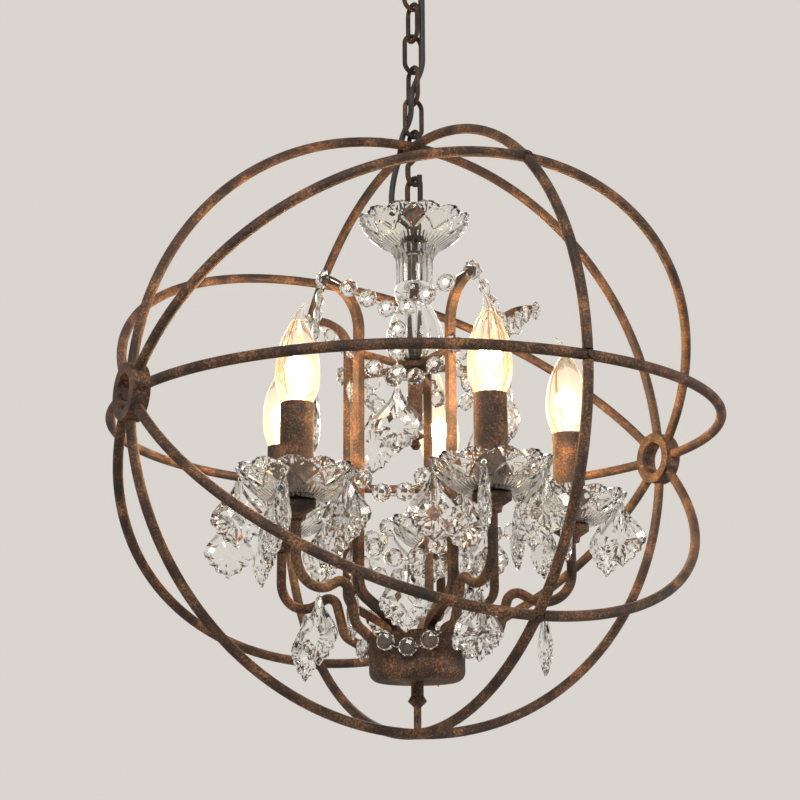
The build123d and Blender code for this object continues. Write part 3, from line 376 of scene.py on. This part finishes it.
GLASS = glass("clear_glass", (0.93, 0.915, 0.875), 1.5, 140.0, 0.12)
CRYSTAL = glass("cut_crystal", (0.985, 0.975, 0.95), 1.58, 220.0, 0.05)

SLOT_MATERIALS = {
    "rust_iron": RUST, "dark_iron": DARK_IRON, "zinc_steel": ZINC, "white_plastic": PORCELAIN,
    "cord_black": CORD_BLACK, "clear_glass": GLASS, "cut_crystal": CRYSTAL, "bulb_glass": GLASS,
}
for subpart in frame["record"]["subparts"]:
    node = frame["nodes"][subpart["node"]]
    node.data.materials.clear()
    node.data.materials.append(SLOT_MATERIALS[subpart["material_slot"]])


# The cord: its route's points from the part, as control points of one smooth line

CORD_R = 2.5 * MM
BELOW_ALL = -1.0
CORD_ROUTE = [
    (0, 0, -2.5), (0, 0, -25), (0, 0, -42), (6, -6, -57), (6, -6, -74), (6, -6, -131), (6, -6, -147),
    (0, -2, -163.3), (-6.4, -7.4, -178), (-2, 0, -193), (-7.6, 7.6, -209), (-8.6, 8.2, -226.2),
    (-14, 10, -246.2), (-16, 11, -266.2), (-14.5, 10, -281.6), (0, 0, -293.1),
]
CORD_STRETCHES = [
    ("cord_upper", "ceiling", "top_link", -52, -72),
    ("cord_middle", "top_link", "chain", -81, -101),
    ("cord_lower", "chain", "orb", -198, -222),
]


def smooth_line(points):
    """Points read along a smooth line that the given points control."""
    curve = bpy.data.curves.new("route", "CURVE")
    curve.dimensions = "3D"
    curve.resolution_u = 12
    spline = curve.splines.new("NURBS")
    spline.points.add(len(points) - 1)
    for point, place in zip(spline.points, points):
        point.co = (*(c * MM for c in place), 1.0)
    spline.order_u = 3
    spline.use_endpoint_u = True
    holder = bpy.data.objects.new("route", curve)
    bpy.context.scene.collection.objects.link(holder)
    mesh = bpy.data.meshes.new_from_object(holder)
    line = [v.co.copy() for v in mesh.vertices]
    bpy.data.objects.remove(holder)
    return line


def cut_line(line, high, low):
    """The part of a falling line between two heights."""
    kept = []
    for a, b in zip(line, line[1:]):
        for level in (high, low):
            if (a.z - level) * (b.z - level) < 0:
                kept.append(a.lerp(b, (a.z - level) / (a.z - b.z)))
        if low <= b.z <= high:
            kept.append(b)
    return kept


def make_cord():
    line = smooth_line(CORD_ROUTE)
    for name, above, below, start, end in CORD_STRETCHES:
        low, high = (corner[2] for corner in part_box(name))
        stretch = line if name == "cord_upper" else cut_line(line, high, BELOW_ALL)
        if name != "cord_lower":
            stretch = [p for p in stretch if p.z > low] + cut_line(line, low, low)
        piece = Shape().add(tube(stretch, CORD_R, 16)).make(f"{name}_lead", [CORD_BLACK], 60)
        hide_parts(name)
        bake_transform(piece)


# Cut crystals, made with their pins along Z and their faces looking along Y

def octagon(apothem, y, turned):
    radius = apothem / math.cos(math.pi / 8)
    start = 0 if turned else math.pi / 8
    turns = [start + math.pi / 4 * k for k in range(8)]
    return [(radius * math.cos(t), y, radius * math.sin(t)) for t in turns]


def bead():
    """Octagon bead: small flat tables, and two rows of triangles down to the girdle on each side."""
    half = BEAD_THICK / 2
    rows = [
        (0.36, -1.0, False), (0.76, -0.74, True), (1.0, -0.2, False),
        (1.0, 0.2, False), (0.76, 0.74, True), (0.36, 1.0, False),
    ]
    verts = [v for scale, y, turned in rows for v in octagon(scale * BEAD_R, y * half, turned)]
    faces = [list(range(8)), list(range(len(verts) - 1, len(verts) - 9, -1))]
    for row in range(len(rows) - 1):
        turned, turned_after = rows[row][2], rows[row + 1][2]
        for k in range(8):
            a, b = 8 * row + k, 8 * row + (k + 1) % 8
            c, d = a + 8, b + 8
            if turned == turned_after:
                faces.append([a, c, d, b])
            elif turned:
                faces += [[a, c, b], [b, c, d]]
            else:
                faces += [[a, d, b], [a, c, d]]
    return verts, faces


def leaf(scale, y, dent=0.0):
    """Pendant's outline, drawn in toward a place low on its axis. Every other pair of points is dented."""
    half = [
        (0.1, 0.0), (0.18, -0.1), (0.38, -0.22), (0.66, -0.34), (0.9, -0.46), (1.0, -0.57), (0.94, -0.65),
        (0.8, -0.69), (0.76, -0.77), (0.55, -0.8), (0.5, -0.88), (0.25, -0.91), (0.0, -1.0),
    ]
    middle = -0.6
    points = half + [(-x, z) for x, z in half[-2::-1]]
    outline = []
    for i, (x, z) in enumerate(points):
        height = (middle + (z - middle) * scale) * DROP_LENGTH - DROP_PIN
        outline.append((x * scale * DROP_WIDTH / 2, y - dent * (i // 2 % 2), height))
    return outline


def drop():
    """Pendant: wide facets on its front, a domed back, and cut bevels down to a notched edge."""
    rows = [
        leaf(0.3, 0.5 * DROP_THICK), leaf(0.6, 0.45 * DROP_THICK, DROP_DENT), leaf(0.84, 0.3 * DROP_THICK),
        leaf(1.0, 0.08 * DROP_THICK), leaf(1.0, -0.08 * DROP_THICK), leaf(0.7, -0.36 * DROP_THICK),
        leaf(0.25, -0.5 * DROP_THICK),
    ]
    girdle = 3
    sides = len(rows[0])
    verts = [v for row in rows for v in row]
    faces = [list(range(sides)), list(range(len(verts) - 1, len(verts) - 1 - sides, -1))]
    for row in range(len(rows) - 1):
        for i in range(sides):
            j = (i + 1) % sides
            a, b, c, d = row * sides + i, row * sides + j, (row + 1) * sides + j, (row + 1) * sides + i
            if row == girdle:
                faces.append([a, d, c, b])
            elif (row + i) % 2:
                faces += [[a, d, b], [b, d, c]]
            else:
                faces += [[a, d, c], [a, c, b]]
    return verts, faces


def rosette():
    """Star-cut button with eight points."""
    points = 8
    valley = 0.82
    rows = [(-0.5, 0.4, 0.5), (-0.2, 0.8, 0.0), (0.0, 1.0, 0.0), (0.2, 0.8, 0.0), (0.5, 0.4, 0.5)]
    verts = []
    for y, scale, phase in rows:
        for k in range(2 * points):
            radius = ROSETTE_R * scale * (1.0 if k % 2 == 0 else valley)
            turn = math.pi * (k + phase) / points
            verts.append((radius * math.cos(turn), y * ROSETTE_THICK, radius * math.sin(turn)))
    sides = 2 * points
    faces = [face[::-1] for face in rings_to_faces(len(rows), sides)]
    faces = [f for a, b, c, d in faces for f in ([a, b, c], [a, c, d])]
    faces += [list(range(sides)), list(range(len(verts) - 1, len(verts) - 1 - sides, -1))]
    return verts, faces


BEAD = bead()
DROP = drop()
ROSETTE = rosette()
LINK_RING = wire_ring(RING_R, WIRE_R)
DROP_STEM = tube([(0, 0, -DROP_PIN - 4 * MM), (0, 0, 0)], WIRE_R, 6)


def add_bead(shape, place):
    shape.add(BEAD, place, 0)
    for side in (-1, 1):
        run = [(0, 0, side * 0.8 * BEAD_R), (0, 0, side * (BEAD_PITCH / 2 - PIN_GAP))]
        shape.add(tube(run, WIRE_R, 6), place, 1)
        shape.add(LINK_RING, place @ Matrix.Translation((0, 0, side * (BEAD_R + 0.2 * RING_R))), 1)


def add_drop(shape, place):
    shape.add(DROP, place, 0)
    shape.add(DROP_STEM, place, 1)
    shape.add(LINK_RING, place @ Matrix.Translation((0, 0, -DROP_PIN)), 1)


def facing_out(radius, turn, height):
    """Place for a crystal whose faces look away from the axis."""
    spot = Matrix.Translation((radius * math.cos(turn), radius * math.sin(turn), height))
    return spot @ Matrix.Rotation(turn - math.pi / 2, 4, "Z")


def add_hanging(shape, place, beads):
    """A pendant under a row of beads. The uppermost pin ends at the place."""
    for k in range(beads):
        add_bead(shape, place @ Matrix.Translation((0, 0, -BEAD_PITCH * (k + 0.5))))
    add_drop(shape, place @ Matrix.Translation((0, 0, -BEAD_PITCH * beads)))


def swag_arc(radius, end_in, count):
    """Turn from bead to bead and radius of the arc that a swag hangs in."""
    chord = 2 * (radius * math.sin(HALF_TURN) - end_in)
    low, high = 1e-4, math.pi * 1.6 / count
    for _ in range(60):
        step = (low + high) / 2
        if math.sin(count * step / 2) / math.sin(step / 2) * BEAD_PITCH > chord:
            low = step
        else:
            high = step
    return low, BEAD_PITCH / 2 / math.sin(low / 2)


def add_swag(shape, radius, height, end_in, count, turn):
    """Beads that hang in an arc between two places on neighbouring arms."""
    middle = turn + HALF_TURN
    step, arc_r = swag_arc(radius, end_in, count)
    out = Vector((math.cos(middle), math.sin(middle), 0))
    along = Vector((-math.sin(middle), math.cos(middle), 0))
    rise = Vector((0, 0, height + arc_r * math.cos(count * step / 2)))
    centre = out * (radius * math.cos(HALF_TURN)) + rise
    for k in range(count):
        angle = (k - (count - 1) / 2) * step
        spot = centre + along * (arc_r * math.sin(angle)) - Vector((0, 0, arc_r * math.cos(angle)))
        run = along * math.cos(angle) + Vector((0, 0, math.sin(angle)))
        turned = Matrix((out.cross(run), out, run)).transposed().to_4x4()
        add_bead(shape, Matrix.Translation(spot) @ turned)


def add_tip_swag(shape, turn):
    """Two straight rows of beads from the middle of a swag, with links up to the backs of two buttons."""
    middle = turn + HALF_TURN
    out = Vector((math.cos(middle), math.sin(middle), 0))
    along = Vector((-math.sin(middle), math.cos(middle), 0))
    low = out * SWAG_R + Vector((0, 0, TIP_Z - SWAG_FALL))
    length = math.hypot(SWAG_HALF, SWAG_FALL) - PIN_R - SWAG_START
    for side in (-1, 1):
        run = (along * (side * SWAG_HALF) + Vector((0, 0, SWAG_FALL))).normalized()
        turned = Matrix((out.cross(run), out, run)).transposed().to_4x4()
        row = Matrix.Translation(low + run * PIN_R) @ turned
        for k in range(SWAG_SIDE_BEADS):
            add_bead(shape, row @ Matrix.Translation((0, 0, (k + 0.5) * BEAD_PITCH)))
        shape.add(tube([(0, 0, SWAG_SIDE_BEADS * BEAD_PITCH), (0, 0, length)], WIRE_R, 6), row, 1)


def hook_start(bar_half):
    """How far from a bar's axis a hook starts on its side."""
    return bar_half / math.cos(HALF_TURN) + PIN_R * math.tan(HALF_TURN) + SLIP


def add_garland(shape, radius, height, bar_half, count, turn):
    """Swag between two neighbouring bars, with the short wires on their sides that it hangs from."""
    near, far = hook_start(bar_half), hook_start(bar_half) + GARLAND_HOOK
    add_swag(shape, radius, height, far + PIN_GAP, count, turn)
    for arm, side in ((turn, 1), (turn + 2 * HALF_TURN, -1)):
        way = arm + side * (math.pi / 2 + HALF_TURN)
        bar = Vector((radius * math.cos(arm), radius * math.sin(arm), height))
        run = Vector((math.cos(way), math.sin(way), 0))
        shape.add(tube([bar + run * near, bar + run * far], WIRE_R, 6), number=1)


def under_swag(radius, height, end_in, count):
    """Height just under the middle of a swag with an even number of beads."""
    step, arc_r = swag_arc(radius, end_in, count)
    return height - arc_r / math.cos(step / 2) + arc_r * math.cos(count * step / 2) - PIN_R - SLIP


def crystal_piece(shape, name, body, node):
    piece = shape.make(name, [CRYSTAL, WIRE])
    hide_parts(node)
    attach(piece, body)
    return piece


def make_swags():
    """Rows of beads: from tip to tip, from bar to bar, round the cup and from dish to dish."""
    tips, bars, cup, dishes = Shape(), Shape(), Shape(), Shape()
    for turn in ARM_TURNS:
        add_tip_swag(tips, turn)
        for height in (HIGH_GARLAND_Z, GARLAND_Z):
            add_garland(bars, SCROLL_R, height, SCROLL_WIDTH / 2, GARLAND_BEADS, turn)
        add_garland(cup, CUP_SWAG_R, CUP_SWAG_Z, 0.9 * ARM_TUBE_R, CUP_SWAG_BEADS, turn)
        add_swag(dishes, CANDLE_R, DISH_SWAG_Z, DISH_SWAG_END, DISH_SWAG_BEADS, turn)
    crystal_piece(tips, "bead_swags", "orb", "swag_beads")
    crystal_piece(bars, "bead_garlands", "orb", "garland_beads")
    crystal_piece(cup, "cup_bead_swags", "orb", "cup_swags")
    crystal_piece(dishes, "dish_bead_swags", "orb", "dish_swags")


def make_pendants():
    """Star buttons, and pendants under the arms, garlands, dishes and swags."""
    buttons, drops, ring = Shape(), Shape(), Shape()
    garland_end = hook_start(SCROLL_WIDTH / 2) + GARLAND_HOOK + PIN_GAP
    garland_low = under_swag(SCROLL_R, GARLAND_Z, garland_end, GARLAND_BEADS)
    for turn in ARM_TURNS:
        buttons.add(ROSETTE, facing_out(TIP_ROSETTE_R, turn, TIP_Z))
        buttons.add(ROSETTE, facing_out(SCROLL_ROSETTE_R, turn, SPIDER_TOP))
        add_hanging(drops, facing_out(TROUGH_R, turn, TROUGH_LOW), 0)
        add_hanging(drops, facing_out(SCROLL_R * math.cos(HALF_TURN), turn + HALF_TURN, garland_low), 0)
        candle = facing_out(CANDLE_R, turn, 0.0) @ Matrix.Rotation(math.pi / 2, 4, "Z")
        for k in range(DISH_DROPS):
            around = 2 * math.pi / DISH_DROPS * (k + 0.5)
            yaw = 0.0 if math.isclose(around, math.pi) else math.pi / 2
            place = candle @ facing_out(DISH_DROP_R, around, DISH_DROP_TOP) @ Matrix.Rotation(yaw, 4, "Z")
            add_hanging(ring, place, 0)
    crystal_piece(buttons, "star_buttons", "orb", "rosettes")
    crystal_piece(drops, "frame_pendants", "orb", "frame_drops")
    crystal_piece(ring, "dish_pendants", "orb", "dish_drops")
    for k, (place, beads) in enumerate(zip(STRANDS, STRAND_BEADS), 1):
        strand = Shape()
        top = facing_out(place.xy.length, math.atan2(place.y, place.x), place.z)
        strand.add(tube([(0, 0, -STRAND_LINK), (0, 0, 0)], WIRE_R, 6), top, 1)
        strand.add(LINK_RING, top @ Matrix.Translation((0, 0, -RING_R - WIRE_R)), 1)
        add_hanging(strand, top @ Matrix.Translation((0, 0, -STRAND_LINK)), beads)
        crystal_piece(strand, f"strand_{k}_crystals", f"strand_{k}", f"swag_strand_{k}")


# Pressed glass: dishes and the column

def dish_lobe(turn):
    """How far along its lobe a direction is, from -1 at one notch to 1 at the next."""
    return (turn * DISH_LOBES / (2 * math.pi)) % 1.0 * 2 - 1


def dish_relief(turn, rise):
    """Depth of the cuts: lines round a lozenge under each notch, a fan in each lobe, and flutes below."""
    across = abs(dish_lobe(turn))
    if rise < PANEL_LOW:
        return 0.5 * abs(math.sin(2 * math.pi * across)) * math.sin(math.pi * rise / PANEL_LOW)
    up = 2 * (rise - PANEL_LOW) / (PANEL_HIGH - PANEL_LOW) - 1
    cut = 1 - abs(across - abs(up)) / 0.3
    if up > 0:
        cut = max(cut, 1 - abs(across - 0.5 * up) / 0.16, 1 - across / 0.16)
    return max(cut, 0.0)


def dish(hole_r):
    """Scalloped bowl with cut outside and smooth inside, standing on height 0."""
    sides = DISH_LOBES * 20
    steps = 34
    outer = arc((DISH_FLAT_R, 0), (DISH_FLAT_R + 0.61 * (DISH_R - DISH_FLAT_R), 0.33 * DISH_DEPTH),
                (DISH_R, DISH_DEPTH), steps)
    inner_r = DISH_R - DISH_WALL
    flat_in = DISH_FLAT_R - 1 * MM
    inner_rise = DISH_DEPTH - DISH_WALL
    inner = arc((flat_in, DISH_WALL), (flat_in + 0.61 * (inner_r - flat_in), DISH_WALL + 0.33 * inner_rise),
                (inner_r, DISH_DEPTH), steps)
    profile = [(hole_r, 0), *outer, *inner[::-1], (hole_r, DISH_WALL)]
    verts = []
    for row, (radius, height) in enumerate(profile):
        rise = max(height / DISH_DEPTH, 0.0)
        for k in range(sides):
            turn = 2 * math.pi * k / sides
            lobe = 1 - dish_lobe(turn) ** 2
            edge = DISH_VALLEY_R + (DISH_R - DISH_VALLEY_R) * lobe
            scale = 1 + (edge / DISH_R - 1) * rise**2
            depth = CUT_DEPTH * dish_relief(turn, rise) if 1 <= row <= steps + 1 and rise > 0.02 else 0.0
            reach = radius * scale - depth
            notch = RIM_NOTCH * (1 - lobe) * max(rise - 0.6, 0.0) / 0.4
            verts.append((reach * math.cos(turn), reach * math.sin(turn), height - notch))
    return verts, rings_to_faces(len(profile), sides, closed=True)


def make_dishes():
    bowls, crown = Shape(), Shape()
    bowl = dish(CANDLE_HOLE_R)
    for turn in ARM_TURNS:
        bowls.add(bowl, facing_out(CANDLE_R, turn, DISH_Z) @ Matrix.Rotation(math.pi / 2, 4, "Z"))
    crown.add(dish(STEM_HOLE_R), Matrix.Translation((0, 0, CROWN_Z)))
    for shape, name, node in ((bowls, "dish_glass", "glass_dishes"), (crown, "crown_glass", "crown_dish")):
        piece = shape.make(name, [GLASS], 16)
        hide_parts(node)
        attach(piece, "orb")


def make_column():
    """Fluted glass tube under the crown dish, and the fluted vase below it."""
    top, bottom = CROWN_Z - SEAT_GAP, VASE_TOP + SEAT_GAP
    profile = [
        (TUBE_BORE_R, bottom), (TUBE_R, bottom), (TUBE_WAIST_R, bottom + 10 * MM), (TUBE_R, top - 10 * MM),
        (17 * MM, top - 6.5 * MM), (19.6 * MM, top - 3 * MM), (FLANGE_R, top - 1 * MM), (19.4 * MM, top),
        (STEM_HOLE_R, top), (STEM_HOLE_R, top - TUBE_TOP), (TUBE_BORE_R, top - TUBE_TOP),
    ]

    def fluted(turn, share):
        return 1 - TUBE_FLUTE_SHARE * abs(math.sin(TUBE_FLUTES * turn / 2)) if 0.05 < share < 0.65 else 1.0

    pillar = Shape().add(lathe(profile, TUBE_FLUTES * 8, fluted)).make("column_tube_glass", [GLASS], 28)
    ring_z = VASE_TOP - VASE_RING_HEIGHT
    neck_z = VASE_TOP - VASE_NECK_DOWN
    belly_z = VASE_TOP - VASE_BELLY_DOWN
    ring = arc((VASE_TOP_R, VASE_TOP), (VASE_RING_R, (VASE_TOP + ring_z) / 2), (14 * MM, ring_z), 12)
    shoulder = arc((VASE_NECK_R, neck_z), (21.6 * MM, (neck_z + belly_z) / 2), (VASE_R, belly_z), 14)
    foot = arc((VASE_R, belly_z), (21.3 * MM, (belly_z + SPIDER_TOP) / 2), (VASE_NECK_R, SPIDER_TOP), 12)
    vase_profile = [(STEM_HOLE_R, VASE_TOP), *ring, *shoulder, *foot[1:], (STEM_HOLE_R, SPIDER_TOP)]
    ring_share = len(ring) / len(vase_profile)

    def petals(turn, share):
        if not ring_share < share < 0.98:
            return 1.0
        return 1 - VASE_PETAL_SHARE + VASE_PETAL_SHARE * abs(math.sin(VASE_PETALS * turn / 2))

    vase = Shape().add(lathe(vase_profile, VASE_PETALS * 16, petals)).make("column_vase_glass", [GLASS], 28)
    for piece, node in ((pillar, "column_tube"), (vase, "column_vase")):
        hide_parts(node)
        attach(piece, "orb")


# Lit candle bulbs

BULB_NECK_R = 10.0 * MM
BULB_R = 17.3 * MM
BULB_R_UP = 29.0 * MM
BULB_SHOULDER_R = 5.0 * MM
BULB_TIP_R = 0.9 * MM
BULB_TIP_OUT = 8.0 * MM
BULB_SHOULDER_UP = 69.0 * MM
BULB_TIP_UP = 86.0 * MM
GLOW = (1.0, 0.6, 0.22)


def bulb_profile():
    """Envelope as (radius, height, lean) rows above the lampholder's top."""
    belly = arc((BULB_NECK_R, 1 * MM), (15.1 * MM, 11.6 * MM), (BULB_R, BULB_R_UP), 12)
    flank = arc((BULB_R, BULB_R_UP), (14.2 * MM, 49 * MM), (BULB_SHOULDER_R, BULB_SHOULDER_UP), 16)
    rows = [(r, z, 0.0) for r, z in belly + flank[1:]]
    tip_rows = 10
    for i in range(1, tip_rows + 1):
        share = i / tip_rows
        radius = BULB_SHOULDER_R + share * (BULB_TIP_R - BULB_SHOULDER_R)
        height = BULB_SHOULDER_UP + share * (BULB_TIP_UP - BULB_SHOULDER_UP)
        rows.append((radius, height, BULB_TIP_OUT * share**1.8))
    return rows


def bulb_skin(rows, sides=32):
    """Closed envelope through rows whose middles lean along +X."""
    verts = []
    for radius, height, lean in rows:
        for k in range(sides):
            turn = 2 * math.pi * k / sides
            verts.append((lean + radius * math.cos(turn), radius * math.sin(turn), height))
    faces = rings_to_faces(len(rows), sides)
    last = (len(rows) - 1) * sides
    faces.append(list(range(sides))[::-1])
    faces.append(list(range(last, last + sides)))
    return verts, faces


def glowing_glass():
    """Bulb glass that is bright round the filament and clears toward its tip."""
    n = Nodes("bulb_glass")
    generated = n.coords.node.outputs["Generated"]
    split = n.tree.nodes.new("ShaderNodeSeparateXYZ")
    n.join(generated, split.inputs[0])
    haze = n.noise(90.0, 3.0, 0.5)
    rise = n.math("ADD", split.outputs["Z"], n.math("MULTIPLY", n.math("SUBTRACT", haze, 0.5), 0.08))
    n.set(Base_Color=(1.0, 0.96, 0.88, 1.0), Transmission_Weight=1.0, IOR=1.45, Emission_Color=(*GLOW, 1.0))
    n.join(n.span(haze, 0.3, 0.7, 0.05, 0.14), n.shader.inputs["Roughness"])
    levels = [(0.0, 0.45), (0.28, 1.0), (0.55, 0.5), (0.78, 0.02)]
    strength = n.ramp(rise, [(place, (level,) * 3) for place, level in levels])
    n.join(n.math("MULTIPLY", strength, 0.42), n.shader.inputs["Emission Strength"])
    return n.material


def glowing_core():
    n = Nodes("bulb_filament")
    flicker = n.noise(300.0, 3.0, 0.5)
    n.set(Base_Color=(1.0, 0.8, 0.5, 1.0), Emission_Color=(1.0, 0.8, 0.5, 1.0))
    n.join(n.span(flicker, 0.3, 0.7, 1.6, 2.4), n.shader.inputs["Emission Strength"])
    return n.material


def make_bulbs():
    skin, core = glowing_glass(), glowing_core()
    rows = bulb_profile()
    cap = [(6.8, -28), (6.8, -24), (6.5, -23), (6.8, -21), (6.5, -19), (6.8, -17), (6.5, -15), (6.8, -13),
           (6.5, -11), (6.8, -6), (7.0, 0), (9.6, 1.2), (0.5, 1.2), (0.5, -28)]
    screw = lathe([(r * MM, z * MM) for r, z in cap], 32)
    stem = [(0, 0, 2 * MM), (0, 0, 22 * MM)]
    coil_r = 2.2 * MM
    coil = [
        (coil_r * math.cos(i * 0.9), coil_r * math.sin(i * 0.9), (20 + i * 0.45) * MM) for i in range(50)
    ]
    for k, (place, turn) in enumerate(zip(BULBS, ARM_TURNS), 1):
        spot = Matrix.Translation(place) @ Matrix.Rotation(turn + math.pi, 4, "Z")
        envelope = Shape().add(bulb_skin(rows), spot).make(f"bulb_{k}_glass", [skin], 60)
        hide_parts(f"bulb_{k}")
        base = Shape().add(screw, spot).make(f"bulb_{k}_cap", [BRASS], 30)
        filament = Shape().add(tube(stem, 1.6 * MM, 10), spot).add(tube(coil, 0.7 * MM, 8), spot)
        glow = filament.make(f"bulb_{k}_filament", [core], 60)
        for piece in (envelope, base, glow):
            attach(piece, f"bulb_{k}_body")
        for piece in (envelope, glow):
            piece.visible_shadow = False
        lamp = bpy.data.lights.new(f"bulb_{k}_light", "POINT")
        lamp.energy = 0.7
        lamp.color = (1.0, 0.68, 0.36)
        lamp.shadow_soft_size = 7 * MM
        light = bpy.data.objects.new(lamp.name, lamp)
        light.location = place + Vector((0, 0, 32 * MM))
        bpy.context.scene.collection.objects.link(light)


# Stage, light and camera

def make_stage():
    floor_z = -1.9
    size = 8.0
    n = Nodes("pale_floor")
    marks = n.noise(3.0, 3.0, 0.5)
    pale = n.ramp(marks, [(0.3, (0.70, 0.67, 0.63)), (0.7, (0.76, 0.73, 0.69))])
    n.join(pale, n.shader.inputs["Base Color"])
    n.set(Roughness=0.85)
    corners = [
        (x * size, y * size, floor_z) for x, y in ((-1, -1), (1, -1), (1, 1), (-1, 1))
    ]
    floor = Shape().add((corners, [[0, 1, 2, 3]])).make("floor", [n.material])


def make_light():
    world = bpy.data.worlds.new("studio")
    bpy.context.scene.world = world
    world.use_nodes = True
    tree = world.node_tree
    fill = tree.nodes["Background"]
    fill.inputs["Color"].default_value = (1.0, 0.975, 0.94, 1.0)
    fill.inputs["Strength"].default_value = 0.45
    seen = tree.nodes.new("ShaderNodeBackground")
    seen.inputs["Color"].default_value = (0.70, 0.665, 0.62, 1.0)
    path = tree.nodes.new("ShaderNodeLightPath")
    mix = tree.nodes.new("ShaderNodeMixShader")
    direct = path.outputs["Is Camera Ray"]
    for ray in ("Is Glossy Ray", "Is Transmission Ray"):
        larger = tree.nodes.new("ShaderNodeMath")
        larger.operation = "MAXIMUM"
        tree.links.new(direct, larger.inputs[0])
        tree.links.new(path.outputs[ray], larger.inputs[1])
        direct = larger.outputs[0]
    tree.links.new(direct, mix.inputs["Fac"])
    tree.links.new(fill.outputs[0], mix.inputs[1])
    tree.links.new(seen.outputs[0], mix.inputs[2])
    tree.links.new(mix.outputs[0], tree.nodes["World Output"].inputs["Surface"])
    for name, spot, size, power, colour in (
        ("key", (-1.5, -1.7, 0.6), 1.2, 42.0, (1.0, 0.96, 0.9)),
        ("fill", (1.9, -1.2, -0.3), 1.5, 16.0, (1.0, 0.97, 0.94)),
        ("rim", (0.9, 1.8, 0.4), 1.1, 26.0, (1.0, 0.95, 0.88)),
    ):
        lamp = bpy.data.lights.new(name, "AREA")
        lamp.shape = "DISK"
        lamp.size = size
        lamp.energy = power
        lamp.color = colour
        light = bpy.data.objects.new(name, lamp)
        light.location = spot
        light.rotation_euler = (ORB - Vector(spot)).to_track_quat("-Z", "Y").to_euler()
        light.visible_transmission = False
        bpy.context.scene.collection.objects.link(light)


CAMERA_AZIMUTH = math.radians(-28.92)
CAMERA_ELEVATION = math.radians(-14.56)
CAMERA_ROLL = math.radians(-0.28)
CAMERA_FROM_ORB = Vector((-0.697, -1.2356, -0.3446))
IMAGE_SIDE = 800
FOCAL_PIXELS = 1787.8
SENSOR = 36.0


def make_camera():
    a, e = CAMERA_AZIMUTH, CAMERA_ELEVATION
    back = Vector((math.sin(a) * math.cos(e), -math.cos(a) * math.cos(e), math.sin(e)))
    right = Vector((0, 0, 1)).cross(back).normalized()
    up = back.cross(right)
    c, s = math.cos(CAMERA_ROLL), math.sin(CAMERA_ROLL)
    rolled = Matrix((right * c + up * s, up * c - right * s, back)).transposed().to_4x4()
    data = bpy.data.cameras.new("view")
    data.sensor_width = SENSOR
    data.lens = FOCAL_PIXELS * SENSOR / IMAGE_SIDE
    camera = bpy.data.objects.new("view", data)
    camera.matrix_world = Matrix.Translation(ORB + CAMERA_FROM_ORB) @ rolled
    bpy.context.scene.collection.objects.link(camera)
    bpy.context.scene.camera = camera


make_camera()
make_cord()
make_swags()
make_pendants()
make_dishes()
make_column()
make_bulbs()
make_stage()
make_light()
bpy.context.scene.view_settings.view_transform = "Standard"
